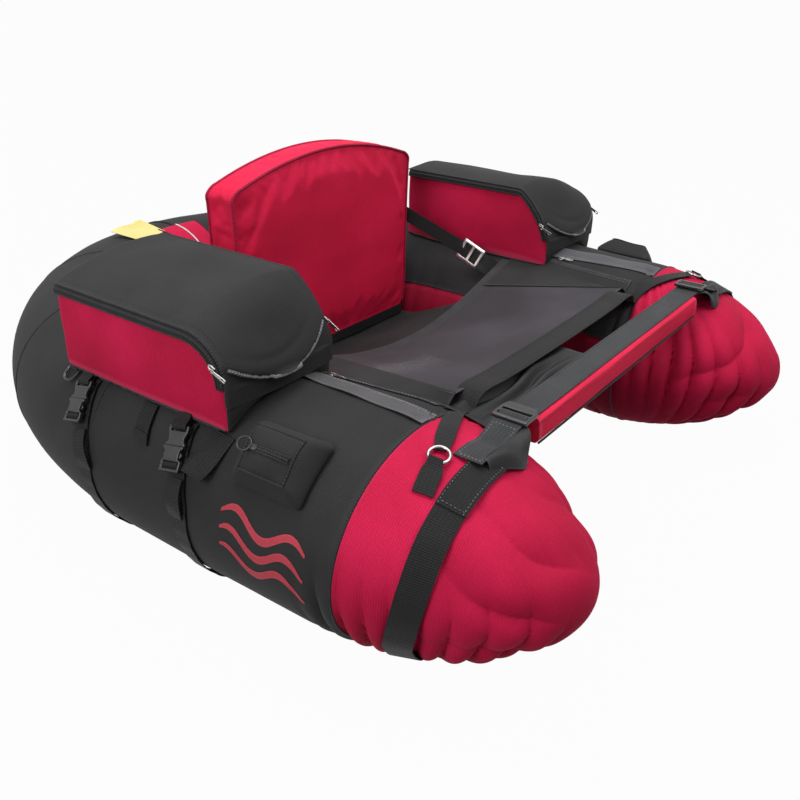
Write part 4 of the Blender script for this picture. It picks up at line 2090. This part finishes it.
for side, word in SIDES.items():
    places = tip_strap_places(side)
    line = [strap_rest(side, *place) for place in places]
    widths = []
    for along, angle, lift in places:
        run = hull(side, along + 0.012, angle, lift, False) - hull(side, along - 0.012, angle, lift, False)
        widths.append(run.normalized())
    ends = [(0.352, 0.2884), (0.342, 0.2915), (0.331, 0.2926)]
    if side < 0:
        ends = [(-x, smooth_top(x, TIP_STRAP_Y, 0.0016)) for x in (0.350, 0.336)]
    line += [Vector((x, TIP_STRAP_Y, z)) for x, z in ends]
    widths += [Vector((0, 1, 0))] * len(ends)
    tape(
        f"tip_strap_{word}_webbing", line, lambda k: widths[k], 0.036, 0.0015, BLACK_WEBBING, "tube",
        f"tip_strap_{word}",
    )
    over = [sided(side, normal_at(*place[:2])) * 0.0016 for place in places[PATCH_RUN]]
    patch = [p + off for p, off in zip(line[PATCH_RUN], over)]
    wide = widths[PATCH_RUN]
    tape(f"tip_strap_patch_{word}", patch, lambda k: wide[k], 0.0375, 0.0014, BLACK_WEBBING, "tube")
    rows = []
    for offset in (-0.0155, 0.0155):
        rows.append([p + w * offset + sided(side, Vector((0.2, 0, 1))) * 0.0014 for p, w in zip(patch, wide)])
    for index in (1, -2):
        middle = patch[index] + Vector((0, 0, 0.0015))
        rows.append([middle + wide[index] * mix(-0.0155, 0.0155, k / 8) for k in range(9)])

    def outwards(p):
        return p - Vector((p.x * 0.8, p.y, 0.14))

    stitches(f"tip_strap_stitches_{word}", rows, outwards, PALE_THREAD, "tube")
print("tip straps done")


# %% [markdown]
# A cup of thin nylon is sewn under each end of the bar's webbing, over the bar's end. Empty, it collapses
# into folds that hang forward over the tip. The lap apron is nylon too. It is gathered under the seat's
# front tape.

# %% Bar-end cups and lap apron
def cup_point(side, u, v):
    """u runs along the webbing's front edge and v down the cup."""
    x = mix(0.296, 0.388, u)
    y = mix(-0.500, -0.524 - 0.008 * math.sin(math.pi * u) + 0.014 * u**2, v)
    rest = smooth_top(x, y, 0.0) if abs(x - ARM_X) < 0.12 else 0.20
    top = mix(0.2915, 0.2860, u)
    fold = 0.0030 * math.sin(u * 9.0 + v * 2.2) * math.sin(v * math.pi)
    bulge = 0.017 * math.sin(v * math.pi) * (1 - u * 0.6)
    z = mix(top, max(rest + 0.0030, mix(0.266, 0.250, ease(0.0, 0.7, u))), v**1.15) + bulge * 0.55 + fold
    gather = 1 - 0.34 * v * (1 - u)
    return sided(side, (mix(0.388, x, gather), y - bulge * 0.35, z))


CUP_FLAT = (0.092, 0.038)
for side, word in SIDES.items():
    cup = grid_sheet(
        f"bar_end_cup_{word}", 44, 24, CUP_FLAT, lambda u, v: cup_point(side, u, v), upward, 0.0008, 1.0
    )
    finish_piece(cup, APRON_NYLON, "front_bar", smooth=60.0)
    if side > 0:
        cup.parent = None
        del cup["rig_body"]
        start, end = (Vector((x, -0.508, 0.275)) for x in (0.372, 0.306))
        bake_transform(cup)


def apron_point(u, v):
    x = -mix(0.302, 0.012, u)
    y = mix(-0.3880, -0.4660, v)
    inside = math.sin(u * math.pi) ** 0.7
    wander = v * 3 + 0.35 * noise.noise(Vector((u * 3.0, v, 0.4))) + 0.25 * u
    fold = 0.0030 * (1 + inside) * math.sin(math.tau * wander) * inside
    sag = 0.004 * inside * math.sin(v * math.pi)
    z = 0.2720 + fold - sag + 0.0012 * noise.noise(Vector((x * 30, y * 40, 2)))
    if -x > 0.245:
        z = mix(z, max(smooth_top(-x, y, 0.0020), z), ease(0.245, 0.284, -x))
    return Vector((x, y, z if -x > 0.284 else min(z, 0.2768)))


apron = grid_sheet("lap_apron_nylon", 90, 60, (0.28, 0.10), apron_point, upward, 0.0009, 1.0)
finish_piece(apron, APRON_NYLON, "tube", "lap_apron", smooth=60.0)
print("cups and apron done")


# %% [markdown]
# The last pieces are small: the valve's screw cap with a knurled rim, a red panel at the rear, a plain
# patch behind the right bag and a simple printed mark of three waves on the right side. A print is only a
# thin layer, so each wave is a thin raised strip.

# %% Valve cap
VALVE_AXIS = Vector((-0.3396, -0.1384, 0.9303))
VALVE_SEAT = Vector((0.28467, 0.19293, 0.30039))

select_nothing()
bpy.ops.mesh.primitive_cylinder_add(vertices=72, radius=0.0140, depth=0.0052, location=(0, 0, 0.0026))
knurled = bpy.context.object
knurled.name = "valve_screw_cap"
take(knurled)
bpy.ops.object.transform_apply(location=True, rotation=False, scale=False)
select_parts(knurled, "FACE", lambda face: face.center.z > 0.0051)
bpy.ops.mesh.inset(thickness=0.0022, depth=0.0)
bpy.ops.mesh.inset(thickness=0.0006, depth=-0.0010)
bpy.ops.object.mode_set(mode="OBJECT")
for vert in knurled.data.vertices:
    step = round(math.atan2(vert.co.y, vert.co.x) / math.tau * 72)
    if math.hypot(vert.co.x, vert.co.y) > 0.0138 and step % 2:
        vert.co.x *= 0.955
        vert.co.y *= 0.955
grip = block("valve_grip", (0.021, 0.0042, 0.0034), (-0.004, 0.004))
grip.data.transform(Matrix.Translation((0, 0, 0.0056)))
soften(grip, 0.0008, 3)
knurled = join([soften(knurled, 0.0003, 2), grip], "valve_screw_cap")
box_uv(knurled)
settle(knurled, VALVE_SEAT, axes(VALVE_AXIS, Vector((0, 1, 0))))
finish_piece(knurled, VINYL, "valve_cap", "valve_cap")


# %% Rear panel and patch
def rear_spot(x, angle, lift):
    """A point on the tube's rear over x, which may be on either side of the middle."""
    turn = math.acos(clamp(abs(x) / ARM_X))
    along = ARM_LENGTH + BEND_LENGTH * turn / (math.pi / 2)
    return hull(-1 if x < 0 else 1, min(along, WHOLE_LENGTH - 0.0005), angle, lift)


PANEL_HALF = 0.052
PANEL_FLAT = (0.104, 0.115)


def rear_red(x, share, lift):
    return rear_spot(x, mix(99.0, 142.0, share), lift + 0.0022 * math.sin(share * math.pi))


rear_panel = grid_sheet(
    "rear_red_panel", 40, 40, PANEL_FLAT, lambda u, v: rear_red(mix(-PANEL_HALF, PANEL_HALF, u), v, 0.0016),
    upward, 0.0011, 1.0,
)
finish_piece(rear_panel, RED_POLYESTER, "tube")
for index, x in enumerate((-PANEL_HALF, 0.0, PANEL_HALF)):
    line = [rear_red(x, k / 40, 0.0040) for k in range(41)]
    paint = WHITE_TAPE if x == 0.0 else PIPING
    cord_line(f"rear_panel_edge_{index}", line, 0.0014, paint, "tube")


def patch_spot(u, v):
    """A stiff patch that is sewn on along its inner edge and stands off the cover a little at the rear."""
    low, high = (rear_spot(mix(-0.128, -0.046, u), angle, 0.0030) for angle in (104.0, 80.0))
    return low.lerp(high, v) + Vector((0, 0, (0.0110 + 0.0016 * math.sin(u * 7.0)) * v))


patch_piece = grid_sheet("plain_patch", 24, 16, (0.082, 0.055), patch_spot, upward, 0.0010, 1.0)
finish_piece(patch_piece, PATCH_CLOTH, "tube")


# %% Wave print
PRINT_RED = cloth("red_screen_print", ("#b83a4a", "#c24252", "#cc4a5a"), rough=0.6, sheen=0.0, rub="#d86a78")
for index in range(3):

    def print_spot(u, v):
        y = mix(-0.238, -0.372, v)
        wave = 4.2 * math.sin(v * math.tau * 1.5 + index * 0.5)
        thick = 4.4 * math.sin(math.pi * clamp(v * 0.96 + 0.02)) ** 0.4
        angle = 17.0 - index * 10.5 - v * 3.0 + wave + (u - 0.5) * thick
        return hull(-1, y - NOSE_Y, angle, 0.0003)

    strip = grid_sheet(f"printed_wave_{index}", 4, 90, (0.012, 0.14), print_spot, off_axis, 0.0003, 1.0)
    finish_piece(strip, PRINT_RED, "tube")

for node, paint in (("valve_body", VINYL), ("bar_core", FOAM)):
    thing = bpy.data.objects.get(node)
    if thing:
        thing.data.materials.clear()
        thing.data.materials.append(paint)
print("small pieces done")
